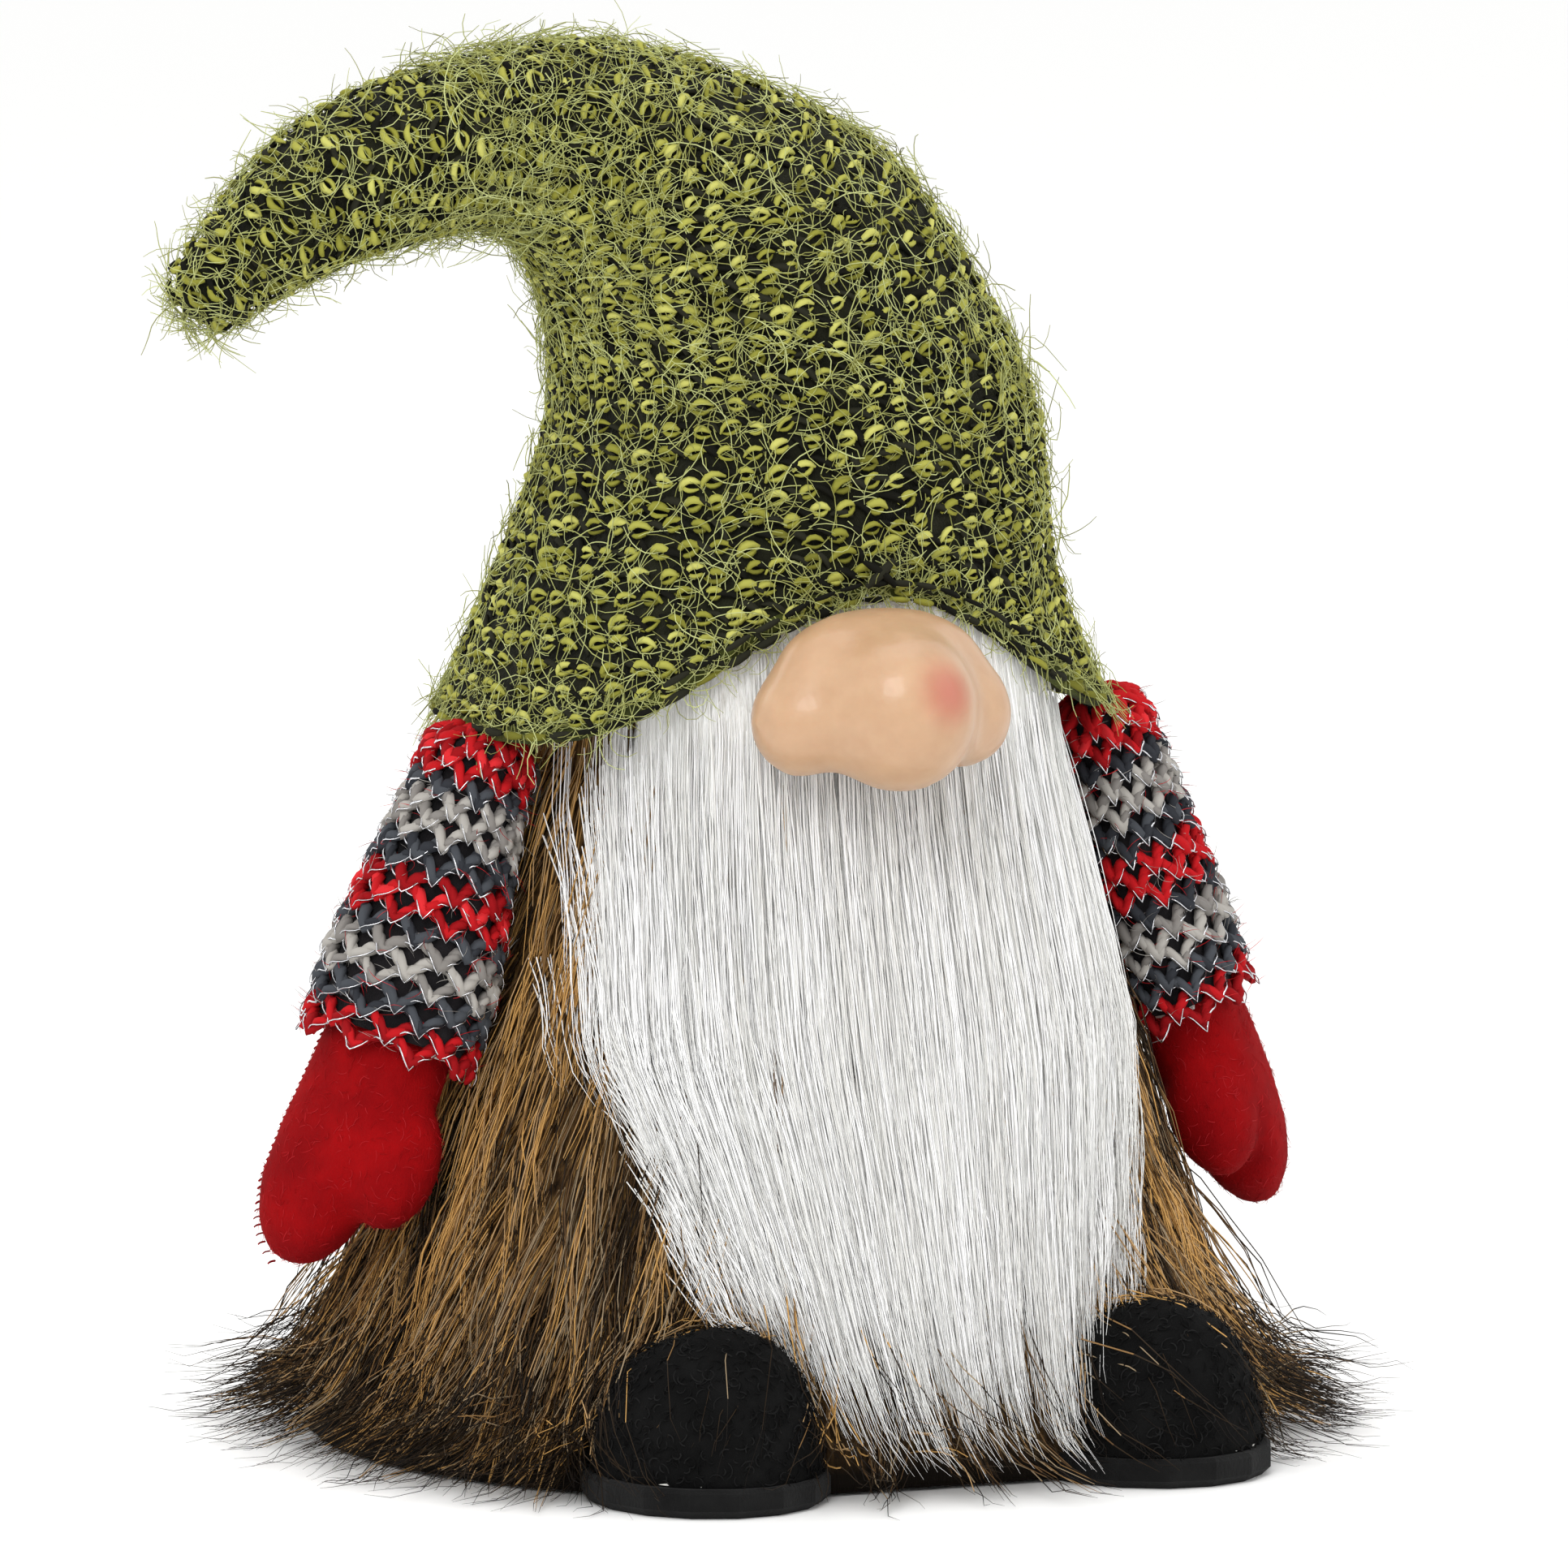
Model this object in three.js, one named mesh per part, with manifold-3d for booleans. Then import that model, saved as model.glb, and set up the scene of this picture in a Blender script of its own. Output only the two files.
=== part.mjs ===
// Tomte gnome: a weighted, stuffed figurine that stands on its base and two boots.
// Millimetres, +Z up, the gnome faces -Y, and the origin is the centre of the base on the floor.
import * as THREE from "three";
import { mergeVertices } from "three/addons/utils/BufferGeometryUtils.js";
import Module from "manifold-3d";

const wasm = await Module();
wasm.setup();

// ---- driving dimensions ----
const GAP = 0.4; // room left between two pieces that touch
const BASE_RADIUS = 86;
const CLOTH = 1.6; // thickness of the cloth under the base
const BOARD = 2.4;
const PILE = 10; // thickness of the fur coat with its pile laid flat
const COAT_TOP = 176;
const HAT_WALL = 4; // knitted cloth with its lining
const HAT_DEPTH = 0.95; // front-to-back size of the hat over its width
const BRIM = 170; // height of the brim at the sides and back
const BRIM_RISE = 36; // how much higher the brim rides over the nose
const BRIM_SPREAD = 80; // half width of that rise
const HEM_RADIUS = 2.2;
const HEM_LIFT = 3.6; // how far above the hem's middle the knitted cloth stops
const WIRE_RADIUS = 1.5;
const BEARD_THICK = 9;
const BEARD_HINGE = 141; // height where the loose beard starts to swing
const BOOT = { x: 55, y: -90, toeOut: 0.14, halfWidth: 29, halfLength: 33, height: 38, sole: 7 };
const NOSE = { x: -5, y: -80, z: 183 };
const NOSE_CORE = 3.5; // radius of the stud on the back of the nose
const WASHER_RADIUS = 10;
const NOTCH = { halfWidth: 86, y: -103, height: 22 };
const SHOULDER = { x: 80.5, y: -6, z: 156.5 };
const ARM_SLANT = 0.33; // how far the arm leans away from upright
const ARM_TURN = 0.62; // how far its broad face turns to the front
const WRIST = 62; // shoulder to wrist
const FINGERTIP = 121; // shoulder to the end of the mitten
const SLEEVE_WALL = 3;
const MITTEN_WALL = 2.6;
const ROUND = 36; // sides of the round body pieces
const ARM_SIDES = 12;
const HAT_STEPS = 15; // rings along the hat
const HAT_SIDES = 18;

// The coat's outer radius: a cone that flares where the pile spreads on the floor.
const coatLine = [
  [60, COAT_TOP],
  [62, 155],
  [78, 98],
  [95, 45],
  [104, 24],
  [114, 11],
  [128, 4],
  [135, 1.6],
];

// The hat's two edges in the XZ plane, from the brim, round the bend and out to the drooping end.
const hatInside = [
  [-82, 167],
  [-67, 202],
  [-54, 238],
  [-55, 262],
  [-62, 279],
  [-73, 287],
  [-91, 286],
  [-112, 280],
  [-134, 270],
];
const hatOutside = [
  [78, 167],
  [64, 202],
  [60, 239],
  [47, 268],
  [20, 303],
  [-37, 327],
  [-84, 325],
  [-122, 311],
  [-149, 283],
];
// Where along the hat its two bends sit, and the radius of the rounded faces that turn on each other.
const BEND_ONE = { t: 0.62, ball: 31 };
const BEND_TWO = { t: 0.86, ball: 19.5 };

// ---- materials ----
const cloth = (color, roughness = 0.95) => new THREE.MeshStandardMaterial({ color, roughness, metalness: 0 });
const knitGreen = cloth("#6b7034");
const hemBlack = cloth("#20221a");
const coatFur = cloth("#6a5236", 0.8);
const beardFur = cloth("#dcdcd6", 0.7);
const sleeveKnit = cloth("#8d3a3c");
const feltRed = cloth("#a80a10");
const fleeceBlack = cloth("#121212");
const fibre = cloth("#ece9e2");
const canvas = cloth("#b9b2a2");
const boardGrey = cloth("#8f877a", 0.9);
const vinylSkin = new THREE.MeshStandardMaterial({ color: "#e2b68c", roughness: 0.32, metalness: 0 });
const plastic = new THREE.MeshStandardMaterial({ color: "#e8e6e0", roughness: 0.4, metalness: 0 });
const wireMetal = new THREE.MeshStandardMaterial({ color: "#a5a7a9", roughness: 0.35, metalness: 1 });

// ---- solids ----
function solidOf(geometry) {
  const bare = geometry.index ? geometry.toNonIndexed() : geometry.clone();
  bare.deleteAttribute("normal");
  bare.deleteAttribute("uv");
  const merged = mergeVertices(bare, 1e-3);
  return new wasm.Manifold(
    new wasm.Mesh({
      numProp: 3,
      vertProperties: merged.attributes.position.array,
      triVerts: new Uint32Array(merged.index.array),
    }),
  );
}

function meshOf(name, solid, material) {
  const made = solid.getMesh();
  const points = new Float32Array(made.numVert * 3);
  for (let i = 0; i < made.numVert; i++) {
    points.set(made.vertProperties.subarray(i * made.numProp, i * made.numProp + 3), i * 3);
  }
  const geometry = new THREE.BufferGeometry();
  geometry.setAttribute("position", new THREE.BufferAttribute(points, 3));
  geometry.setIndex(new THREE.BufferAttribute(new Uint32Array(made.triVerts), 1));
  geometry.computeVertexNormals();
  const mesh = new THREE.Mesh(geometry, material);
  mesh.name = name;
  return mesh;
}

// A closed skin over a row of rings that all have the same number of points.
function loft(rings) {
  const sides = rings[0].length;
  const points = rings.flat();
  const faces = [];
  for (let r = 0; r + 1 < rings.length; r++) {
    for (let s = 0; s < sides; s++) {
      const a = r * sides + s;
      const b = r * sides + ((s + 1) % sides);
      faces.push(a, b, b + sides, a, b + sides, a + sides);
    }
  }
  const last = (rings.length - 1) * sides;
  const middleOf = (ring) => ring.reduce((sum, p) => sum.add(p), new THREE.Vector3()).divideScalar(sides);
  const first = points.push(middleOf(rings[0])) - 1;
  const end = points.push(middleOf(rings[rings.length - 1])) - 1;
  for (let s = 0; s < sides; s++) {
    const next = (s + 1) % sides;
    faces.push(first, next, s, end, last + s, last + next);
  }
  const geometry = new THREE.BufferGeometry().setFromPoints(points);
  geometry.setIndex(faces);
  const made = solidOf(geometry);
  if (made.volume() > 0) return made;
  for (let i = 0; i < faces.length; i += 3) [faces[i + 1], faces[i + 2]] = [faces[i + 2], faces[i + 1]];
  geometry.setIndex(faces);
  return solidOf(geometry);
}

const lathe = (line, sides) => {
  const turned = new THREE.LatheGeometry(line.map(([r, z]) => new THREE.Vector2(r, z)), sides);
  const made = solidOf(turned.rotateX(Math.PI / 2));
  if (made.volume() > 0) return made;
  const reversed = line.slice().reverse();
  return solidOf(
    new THREE.LatheGeometry(reversed.map(([r, z]) => new THREE.Vector2(r, z)), sides).rotateX(Math.PI / 2),
  );
};

const ball = (at, radii, across = 12, up = 8) => {
  const [rx, ry, rz] = Array.isArray(radii) ? radii : [radii, radii, radii];
  return solidOf(new THREE.SphereGeometry(1, across, up).scale(rx, ry, rz).translate(...at));
};

const slab = (size, at) => solidOf(new THREE.BoxGeometry(...size).translate(...at));

const rod = (from, to, radius, sides = 16) => {
  const path = new THREE.LineCurve3(new THREE.Vector3(...from), new THREE.Vector3(...to));
  return tube(path, radius, 1, sides);
};

function tube(path, radius, steps, sides = 8) {
  const round = new THREE.Shape().absarc(0, 0, radius, 0, 2 * Math.PI);
  const made = new THREE.ExtrudeGeometry(round, { steps, curveSegments: sides, extrudePath: path });
  return solidOf(made);
}

// ---- the hat's shape ----
const line = (points) => new THREE.CatmullRomCurve3(points.map(([x, z]) => new THREE.Vector3(x, 0, z)));
const insideCurve = line(hatInside);
const outsideCurve = line(hatOutside);
const hatMiddle = (t) => insideCurve.getPoint(t).add(outsideCurve.getPoint(t)).multiplyScalar(0.5);

function hatPoint(t, angle, grow) {
  const across = outsideCurve.getPoint(t).sub(insideCurve.getPoint(t));
  const half = across.length() / 2;
  const out = across.normalize().multiplyScalar((half + grow) * Math.cos(angle));
  const front = new THREE.Vector3(0, (half * HAT_DEPTH + grow) * Math.sin(angle), 0);
  return hatMiddle(t).add(out).add(front);
}

const hatRing = (t, grow) =>
  Array.from({ length: HAT_SIDES }, (_, i) => hatPoint(t, (2 * Math.PI * i) / HAT_SIDES, grow));

// The hat between two places along it. The far end is domed where it is the hat's own end.
function hatSolid(from, to, grow) {
  const steps = Math.max(2, Math.round((to - from) * HAT_STEPS));
  const rings = Array.from({ length: steps + 1 }, (_, i) => hatRing(from + ((to - from) * i) / steps, grow));
  if (to === 1) {
    const middle = hatMiddle(1);
    const onward = hatMiddle(1).sub(hatMiddle(0.97)).normalize();
    for (const [reach, share] of [
      [3.5, 0.8],
      [5.5, 0.45],
    ]) {
      const shift = onward.clone().multiplyScalar(reach + grow * 0.5);
      rings.push(hatRing(1, grow).map((p) => p.sub(middle).multiplyScalar(share).add(middle).add(shift)));
    }
  }
  return loft(rings);
}

// Height of the brim's edge: level at the sides and back, and arched over the nose.
function brimHeight(x, y) {
  if (y > 0 || Math.abs(x) > BRIM_SPREAD) return BRIM;
  return BRIM + BRIM_RISE * Math.cos((Math.PI * x) / (2 * BRIM_SPREAD)) ** 2;
}

// Everything in front that is under the brim's arch, raised or lowered by lift.
function underArch(lift, reach) {
  const outline = new THREE.Shape();
  const half = BRIM_SPREAD + 4;
  outline.moveTo(-half, 60);
  for (let x = -half; x <= half; x += half / 8) outline.lineTo(x, brimHeight(x, -1) + lift);
  outline.lineTo(half, 60);
  const deep = new THREE.ExtrudeGeometry(outline, { depth: reach, bevelEnabled: false });
  return solidOf(deep.rotateX(Math.PI / 2).translate(0, -4, 0));
}

// ---- nose: a bulb between two nostril wings, hollow vinyl ----
function noseForm(grow) {
  const bulb = nosePart([0, -6, -2], [19.5 + grow, 20 + grow, 20.5 + grow]);
  const bridge = nosePart([0, 6, 7], [27 + grow, 15 + grow, 14.5 + grow]);
  const wings = [-1, 1].map((side) =>
    nosePart([side * 20, 5, -5], [13 + grow, 14.5 + grow, 14.5 + grow], 10, 7),
  );
  return bulb.add(bridge).add(wings[0]).add(wings[1]);
}

// A ball placed from the middle of the nose.
function nosePart([x, y, z], radii, ...sides) {
  return ball([NOSE.x + x, NOSE.y + y, NOSE.z + z], radii, ...sides);
}

// A rod that runs back from the nose, between two depths behind its middle.
function noseRod(from, to, radius, sides) {
  return rod([NOSE.x, NOSE.y + from, NOSE.z], [NOSE.x, NOSE.y + to, NOSE.z], radius, sides);
}

const stud = noseRod(8, 44, NOSE_CORE);
const washerCut = (grow) => noseRod(32 - grow, 35 + grow, WASHER_RADIUS + grow, 24);
const washer = washerCut(0).subtract(noseRod(30, 40, NOSE_CORE + GAP));
const nostrils = [-1, 1].map((side) => nosePart([side * 19, -3, -20], [5.5, 5, 5], 8, 6));
const nose = noseForm(0)
  .subtract(nosePart([0, -6, -2], [17, 17.5, 18]))
  .subtract(nosePart([0, 6, 4], [19, 12, 12]))
  .subtract(noseRod(8, 44, NOSE_CORE + GAP))
  .subtract(nostrils[0])
  .subtract(nostrils[1]);
const noseRoom = noseForm(GAP);
const studRoom = noseRod(-2, 45, NOSE_CORE + GAP);

// ---- hat: knitted shell, stuffing and wire, each split at the two bends ----
const bends = [BEND_ONE, BEND_TWO].map(({ t, ball: radius }) => {
  const at = hatMiddle(t);
  return { t, at, radius, room: ball([at.x, 0, at.z], radius + GAP, 20, 14), solid: ball([at.x, 0, at.z], radius, 20, 14) };
});

// Splits a solid that follows the hat into what is below the first bend, between the two, and past the second.
function splitHat(whole) {
  const zones = [0, bends[0].t, bends[1].t, 1];
  return zones.slice(0, 3).map((from, i) => {
    let zone = hatSolid(from, zones[i + 1], 3);
    if (bends[i]) zone = zone.add(bends[i].solid);
    if (bends[i - 1]) zone = zone.subtract(bends[i - 1].room);
    return whole.intersect(zone);
  });
}

function brimEdge() {
  const points = [];
  const count = 40;
  for (let i = 0; i < count; i++) {
    const angle = (2 * Math.PI * i) / count;
    let [low, high] = [0, 0.3];
    for (let n = 0; n < 20; n++) {
      const t = (low + high) / 2;
      const p = hatPoint(t, angle, -HAT_WALL / 2);
      if (p.z < brimHeight(p.x, p.y)) low = t;
      else high = t;
    }
    points.push(hatPoint(low, angle, -HAT_WALL / 2));
  }
  return new THREE.CatmullRomCurve3(points, true);
}

const hem = solidOf(new THREE.TubeGeometry(brimEdge(), 36, HEM_RADIUS, 6, true));
const wireEnds = [0.12, 0.97];
const wirePath = new THREE.CatmullRomCurve3(
  Array.from({ length: 25 }, (_, i) => hatMiddle(wireEnds[0] + ((wireEnds[1] - wireEnds[0]) * i) / 24)),
);
const wires = splitHat(tube(wirePath, WIRE_RADIUS, 26, 3));
const endRoom = (t) => ball([hatMiddle(t).x, 0, hatMiddle(t).z], WIRE_RADIUS + 2 * GAP, 8, 6);
const wireRoom = tube(wirePath, WIRE_RADIUS + GAP, 26, 3).add(endRoom(wireEnds[0])).add(endRoom(wireEnds[1]));
const belowBrim = slab([400, 400, 100], [0, 0, BRIM + HEM_LIFT - 50]);
const knit = hatSolid(0, 1, 0).subtract(hatSolid(0, 1, -HAT_WALL)).subtract(belowBrim);
const [knitLow, knitMiddle, knitEnd] = splitHat(knit);
const filling = hatSolid(0, 1, -HAT_WALL - GAP).subtract(slab([400, 400, 100], [0, 0, COAT_TOP + GAP - 50]));
const [fillLow, fillMiddle, fillEnd] = splitHat(filling.subtract(wireRoom));

// ---- beard: a panel that wraps the front, in a sewn part and a loose part ----
const beardLine = (offset) => [
  [135 + offset, 1],
  [124 + offset, 6],
  [112 + offset, 14],
  [97 + offset, 42],
  [79 + offset, 98],
  [63 + offset, 155],
  [61.5 + offset, 178],
  [56 + offset, 208],
];
const beardShell = (inner, outer) =>
  lathe([...beardLine(inner), ...beardLine(outer).reverse(), beardLine(inner)[0]], ROUND);

function beardOutline(points, reach = 170) {
  const outline = new THREE.Shape(points.map(([x, z]) => new THREE.Vector2(x, z)));
  return solidOf(
    new THREE.ExtrudeGeometry(outline, { depth: reach, bevelEnabled: false }).rotateX(Math.PI / 2),
  );
}

const sewnBeard = beardOutline([
  [-60, BEARD_HINGE + 2.5],
  [60, BEARD_HINGE + 2.5],
  [60, BRIM - 2],
  [52, BRIM + 6],
  [52, 210],
  [-52, 210],
  [-52, BRIM + 6],
  [-60, BRIM - 2],
]).intersect(underArch(-HEM_RADIUS - 2, 150));
const beardTop = beardShell(0.6, BEARD_THICK)
  .intersect(sewnBeard)
  .subtract(noseRoom)
  .subtract(studRoom);
const beardTopRoom = beardShell(0.2, BEARD_THICK).intersect(underArch(0.5, 150));
const looseBeard = beardOutline([
  [-46, BEARD_HINGE],
  [46, BEARD_HINGE],
  [60, BEARD_HINGE - 22],
  [68, 80],
  [60, 50],
  [24, 42],
  [20, 2.2],
  [-20, 2.2],
  [-24, 42],
  [-60, 50],
  [-68, 80],
  [-60, BEARD_HINGE - 22],
]);

const headFill = fillLow
  .subtract(noseRoom)
  .subtract(studRoom)
  .subtract(washerCut(GAP))
  .subtract(beardTopRoom);

// ---- boots ----
const bootPlace = (side) =>
  new THREE.Matrix4()
    .makeTranslation(side * BOOT.x, BOOT.y, 0)
    .multiply(new THREE.Matrix4().makeRotationZ(side * BOOT.toeOut));

function bootForm(side, grow, low, high) {
  const [w, l] = [BOOT.halfWidth + grow, BOOT.halfLength + grow];
  const rise = BOOT.height - BOOT.sole + grow;
  const dome = new THREE.SphereGeometry(1, 16, 10).scale(w, l, rise).translate(0, 0, BOOT.sole);
  const cut = slab([200, 200, high - low], [side * BOOT.x, BOOT.y, (low + high) / 2]);
  return solidOf(dome.applyMatrix4(bootPlace(side))).intersect(cut);
}

function soleForm(side, grow, low, high) {
  const [w, l] = [BOOT.halfWidth + grow, BOOT.halfLength + grow];
  const edge = [
    [0, low],
    [0.93, low],
    [1, low + 2],
    [1, high - 1],
    [0.97, high],
    [0, high],
  ];
  const round = new THREE.LatheGeometry(edge.map(([r, z]) => new THREE.Vector2(r, z)), 16);
  return solidOf(round.rotateX(Math.PI / 2).scale(w, l, 1).applyMatrix4(bootPlace(side)));
}

const bootRoom = (side) =>
  bootForm(side, 1, BOOT.sole - 1, 60).add(soleForm(side, 1, -1, BOOT.sole + 2));
const bootsRoom = bootRoom(-1).add(bootRoom(1));
const loosePanel = beardShell(1.2, BEARD_THICK + 1).intersect(looseBeard).subtract(bootsRoom);

// ---- body: base, weight, stuffing and coat ----
// In front the coat is cut short, so that the boots and the beard come out from under it.
const frontNotch = slab([2 * NOTCH.halfWidth, 80, NOTCH.height], [0, NOTCH.y - 40, NOTCH.height / 2 - 1]);
const insideCoat = coatLine.slice(0, 5).map(([r, z], i) => [i === 4 ? BASE_RADIUS + 2.4 : r - PILE, z]);
const coatRing = [...coatLine, [132, 0.6], [BASE_RADIUS + GAP, 0.6], ...insideCoat.reverse(), coatLine[0]];
const coat = lathe(coatRing, ROUND).subtract(bootsRoom).subtract(frontNotch);
const baseCloth = lathe(
  [
    [0, 0],
    [BASE_RADIUS, 0],
    [BASE_RADIUS, CLOTH],
    [0, CLOTH],
  ],
  ROUND,
).subtract(bootsRoom);
const boardLow = CLOTH + GAP;
const board = lathe(
  [
    [0, boardLow],
    [BASE_RADIUS - 3, boardLow],
    [BASE_RADIUS - 3, boardLow + BOARD],
    [0, boardLow + BOARD],
  ],
  ROUND,
).subtract(bootsRoom);
const bagLow = boardLow + BOARD + GAP;
const bagForm = (grow) =>
  lathe(
    [
      [0, bagLow - grow],
      [48 + grow, bagLow - grow],
      [58 + grow, bagLow + 5],
      [58 + grow, bagLow + 12],
      [46 + grow, bagLow + 19 + grow],
      [0, bagLow + 21 + grow],
    ],
    24,
  );
const bodyFill = lathe(
  [
    [0, bagLow],
    [BASE_RADIUS - 3, bagLow],
    [BASE_RADIUS, 24],
    [84.6, 45],
    [67.6, 98],
    [51.6, 155],
    [49.6, COAT_TOP],
    [0, COAT_TOP],
  ],
  ROUND,
)
  .subtract(bagForm(GAP))
  .subtract(slab([60, 60, 4], [0, 0, bagLow - 1]))
  .subtract(washerCut(GAP))
  .subtract(bootsRoom);

// ---- arms: built hanging straight down from the shoulder, then leaned and turned ----
const armWidth = (d) => 12 + 8.5 * Math.min(1, d / 45);
const armThick = (d) => 10.2 + 2.6 * Math.min(1, d / 45);

function armRing(d, grow, share = 1) {
  const [w, t] = [(armWidth(Math.max(d, 0)) + grow) * share, (armThick(Math.max(d, 0)) + grow) * share];
  return Array.from({ length: ARM_SIDES }, (_, i) => {
    const angle = (2 * Math.PI * i) / ARM_SIDES;
    return new THREE.Vector3(t * Math.cos(angle), w * Math.sin(angle), -d);
  });
}

// The arm from the rounded shoulder down to a distance below it.
function armForm(grow, to) {
  const crown = [
    [-(9 + grow), 0.3],
    [-(7.5 + grow), 0.66],
    [-(4 + grow), 0.92],
  ];
  const rings = crown.map(([d, share]) => armRing(d, grow, share));
  for (const d of [0, 22, 45, to]) rings.push(armRing(d, grow));
  return loft(rings);
}

// A mitten in the YZ plane, its thumb to the front. Each row: distance below the shoulder, place to the
// back, half width and half thickness.
const palmLine = [
  [WRIST, 0, 17, 11],
  [WRIST + 13, 0.5, 18, 11.8],
  [WRIST + 26, 3.5, 17, 11.8],
  [WRIST + 40, 6.5, 15, 10.8],
  [WRIST + 50, 7.5, 12, 8.6],
  [FINGERTIP - 4, 8, 8, 5.6],
  [FINGERTIP - 1, 8, 4.2, 3.4],
];

function mittenForm(grow, top) {
  const rings = [[top, 0, 17, 11], ...palmLine].map(([d, back, w, t], row) => {
    const onward = row === palmLine.length ? grow : 0;
    return Array.from({ length: ARM_SIDES }, (_, i) => {
      const angle = (2 * Math.PI * i) / ARM_SIDES;
      const [y, x] = [(w + grow) * Math.sin(angle), (t + grow) * Math.cos(angle)];
      return new THREE.Vector3(x, back + y, -d - onward);
    });
  });
  const thumb = ball([0, -12.5, -WRIST - 27], [9.8 + grow, 11.5 + grow, 17.5 + grow], 10, 7);
  return loft(rings).add(thumb);
}

// Cuts away everything above a distance below the shoulder.
const below = (solid, d) => solid.subtract(slab([80, 80, 100], [0, 0, 50 - d]));
const sleeve = armForm(0, WRIST).subtract(armForm(-SLEEVE_WALL, WRIST + 10));
const mitten = below(mittenForm(0, WRIST - 4), WRIST + 1.2).subtract(mittenForm(-MITTEN_WALL, WRIST - 10));
const armFilling = armForm(-SLEEVE_WALL - GAP, WRIST + 0.8).add(
  below(mittenForm(-SLEEVE_WALL - GAP, WRIST - 4), WRIST + GAP),
);

function armGroup(side) {
  const name = side < 0 ? "right" : "left";
  const group = new THREE.Group();
  group.position.set(side * SHOULDER.x, SHOULDER.y, SHOULDER.z);
  group.rotation.set(0, -side * ARM_SLANT, -side * ARM_TURN, "XYZ");
  group.add(meshOf(`sleeve_${name}`, sleeve, sleeveKnit));
  group.add(meshOf(`mitten_${name}`, mitten, feltRed));
  group.add(meshOf(`arm_stuffing_${name}`, armFilling, fibre));
  return group;
}

// The stub of twisted cloth that joins an arm to the coat.
function shoulderTab(side) {
  const from = [side * (SHOULDER.x - 16), SHOULDER.y, SHOULDER.z];
  const to = [side * (SHOULDER.x - 11.6), SHOULDER.y, SHOULDER.z];
  return meshOf(side < 0 ? "shoulder_tab_right" : "shoulder_tab_left", rod(from, to, 5.5, 6), canvas);
}

// ---- assembly ----
const gnome = new THREE.Group();
gnome.name = "tomte_gnome";
const add = (name, solid, material) => gnome.add(meshOf(name, solid, material));

add("base_cloth", baseCloth, fleeceBlack);
add("base_board", board, boardGrey);
add("pellet_bag", bagForm(0), canvas);
add("body_stuffing", bodyFill, fibre);
add("fur_coat", coat, coatFur);
for (const side of [-1, 1]) {
  const name = side < 0 ? "right" : "left";
  const upper = bootForm(side, 0, BOOT.sole + GAP, 60).subtract(bootForm(side, -2.5, BOOT.sole - 1, 60));
  add(`boot_sole_${name}`, soleForm(side, 0, 0, BOOT.sole), fleeceBlack);
  add(`boot_upper_${name}`, upper, fleeceBlack);
  add(`boot_stuffing_${name}`, bootForm(side, -2.5 - GAP, BOOT.sole + GAP, 60), fibre);
}
add("head_stuffing", headFill, fibre);
add("hat_shell", knitLow.subtract(underArch(HEM_LIFT, 150)).subtract(noseRoom), knitGreen);
add("hat_hem", hem.subtract(noseRoom), hemBlack);
add("hat_wire_root", wires[0], wireMetal);
add("hat_horn", knitMiddle, knitGreen);
add("hat_horn_stuffing", fillMiddle, fibre);
add("hat_wire_horn", wires[1], wireMetal);
add("hat_end", knitEnd, knitGreen);
add("hat_end_stuffing", fillEnd, fibre);
add("hat_wire_end", wires[2], wireMetal);
add("nose", nose, vinylSkin);
add("nose_stud", stud, plastic);
add("nose_washer", washer, plastic);
add("beard_panel", beardTop, beardFur);
add("beard_fall", loosePanel, beardFur);
for (const side of [-1, 1]) {
  gnome.add(armGroup(side));
  gnome.add(shoulderTab(side));
}

export default gnome;
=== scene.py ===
import math

import bpy
import numpy as np
from mathutils import Matrix, Vector, noise


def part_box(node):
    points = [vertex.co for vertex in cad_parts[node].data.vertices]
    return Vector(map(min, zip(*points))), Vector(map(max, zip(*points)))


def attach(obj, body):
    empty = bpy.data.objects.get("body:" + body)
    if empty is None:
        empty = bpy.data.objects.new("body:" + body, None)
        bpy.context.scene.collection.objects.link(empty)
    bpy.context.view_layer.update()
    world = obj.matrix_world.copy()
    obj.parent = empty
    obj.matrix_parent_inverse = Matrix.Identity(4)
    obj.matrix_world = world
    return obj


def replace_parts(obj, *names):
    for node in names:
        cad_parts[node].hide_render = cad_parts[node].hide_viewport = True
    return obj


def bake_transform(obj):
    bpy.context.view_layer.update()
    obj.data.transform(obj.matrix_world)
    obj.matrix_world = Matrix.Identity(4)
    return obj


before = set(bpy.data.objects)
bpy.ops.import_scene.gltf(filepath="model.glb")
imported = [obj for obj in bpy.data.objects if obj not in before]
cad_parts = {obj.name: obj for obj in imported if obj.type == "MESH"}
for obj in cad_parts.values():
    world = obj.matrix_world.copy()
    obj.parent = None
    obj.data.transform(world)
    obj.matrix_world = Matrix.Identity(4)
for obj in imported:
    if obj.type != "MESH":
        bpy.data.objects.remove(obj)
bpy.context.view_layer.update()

MM = 0.001
TURN = 2 * math.pi
FLOOR_GAP = 0.5 * MM  # how far the middle of the lowest hair stays above the floor
rng = np.random.default_rng(41)


# ---- studio ----
VIEW_TURN = math.radians(-22)
VIEW_RISE = math.radians(8.5)
VIEW_DISTANCE = 8.0
FRAME_WIDTH = 0.367  # width of the picture where the gnome stands
LOOK_AT = Vector((0.001, 0, 0.1515))
FLOOR_HALF = 9.0
LAMPS = {  # place, width, watts
    "key_softbox": ((-0.75, -1.1, 1.25), 0.8, 12),
    "fill_softbox": ((1.15, -0.8, 0.75), 0.9, 2.5),
    "top_softbox": ((0.1, 0.25, 1.5), 1.0, 3),
    "rear_softbox": ((-0.6, 1.1, 0.8), 0.8, 3),
}


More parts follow.
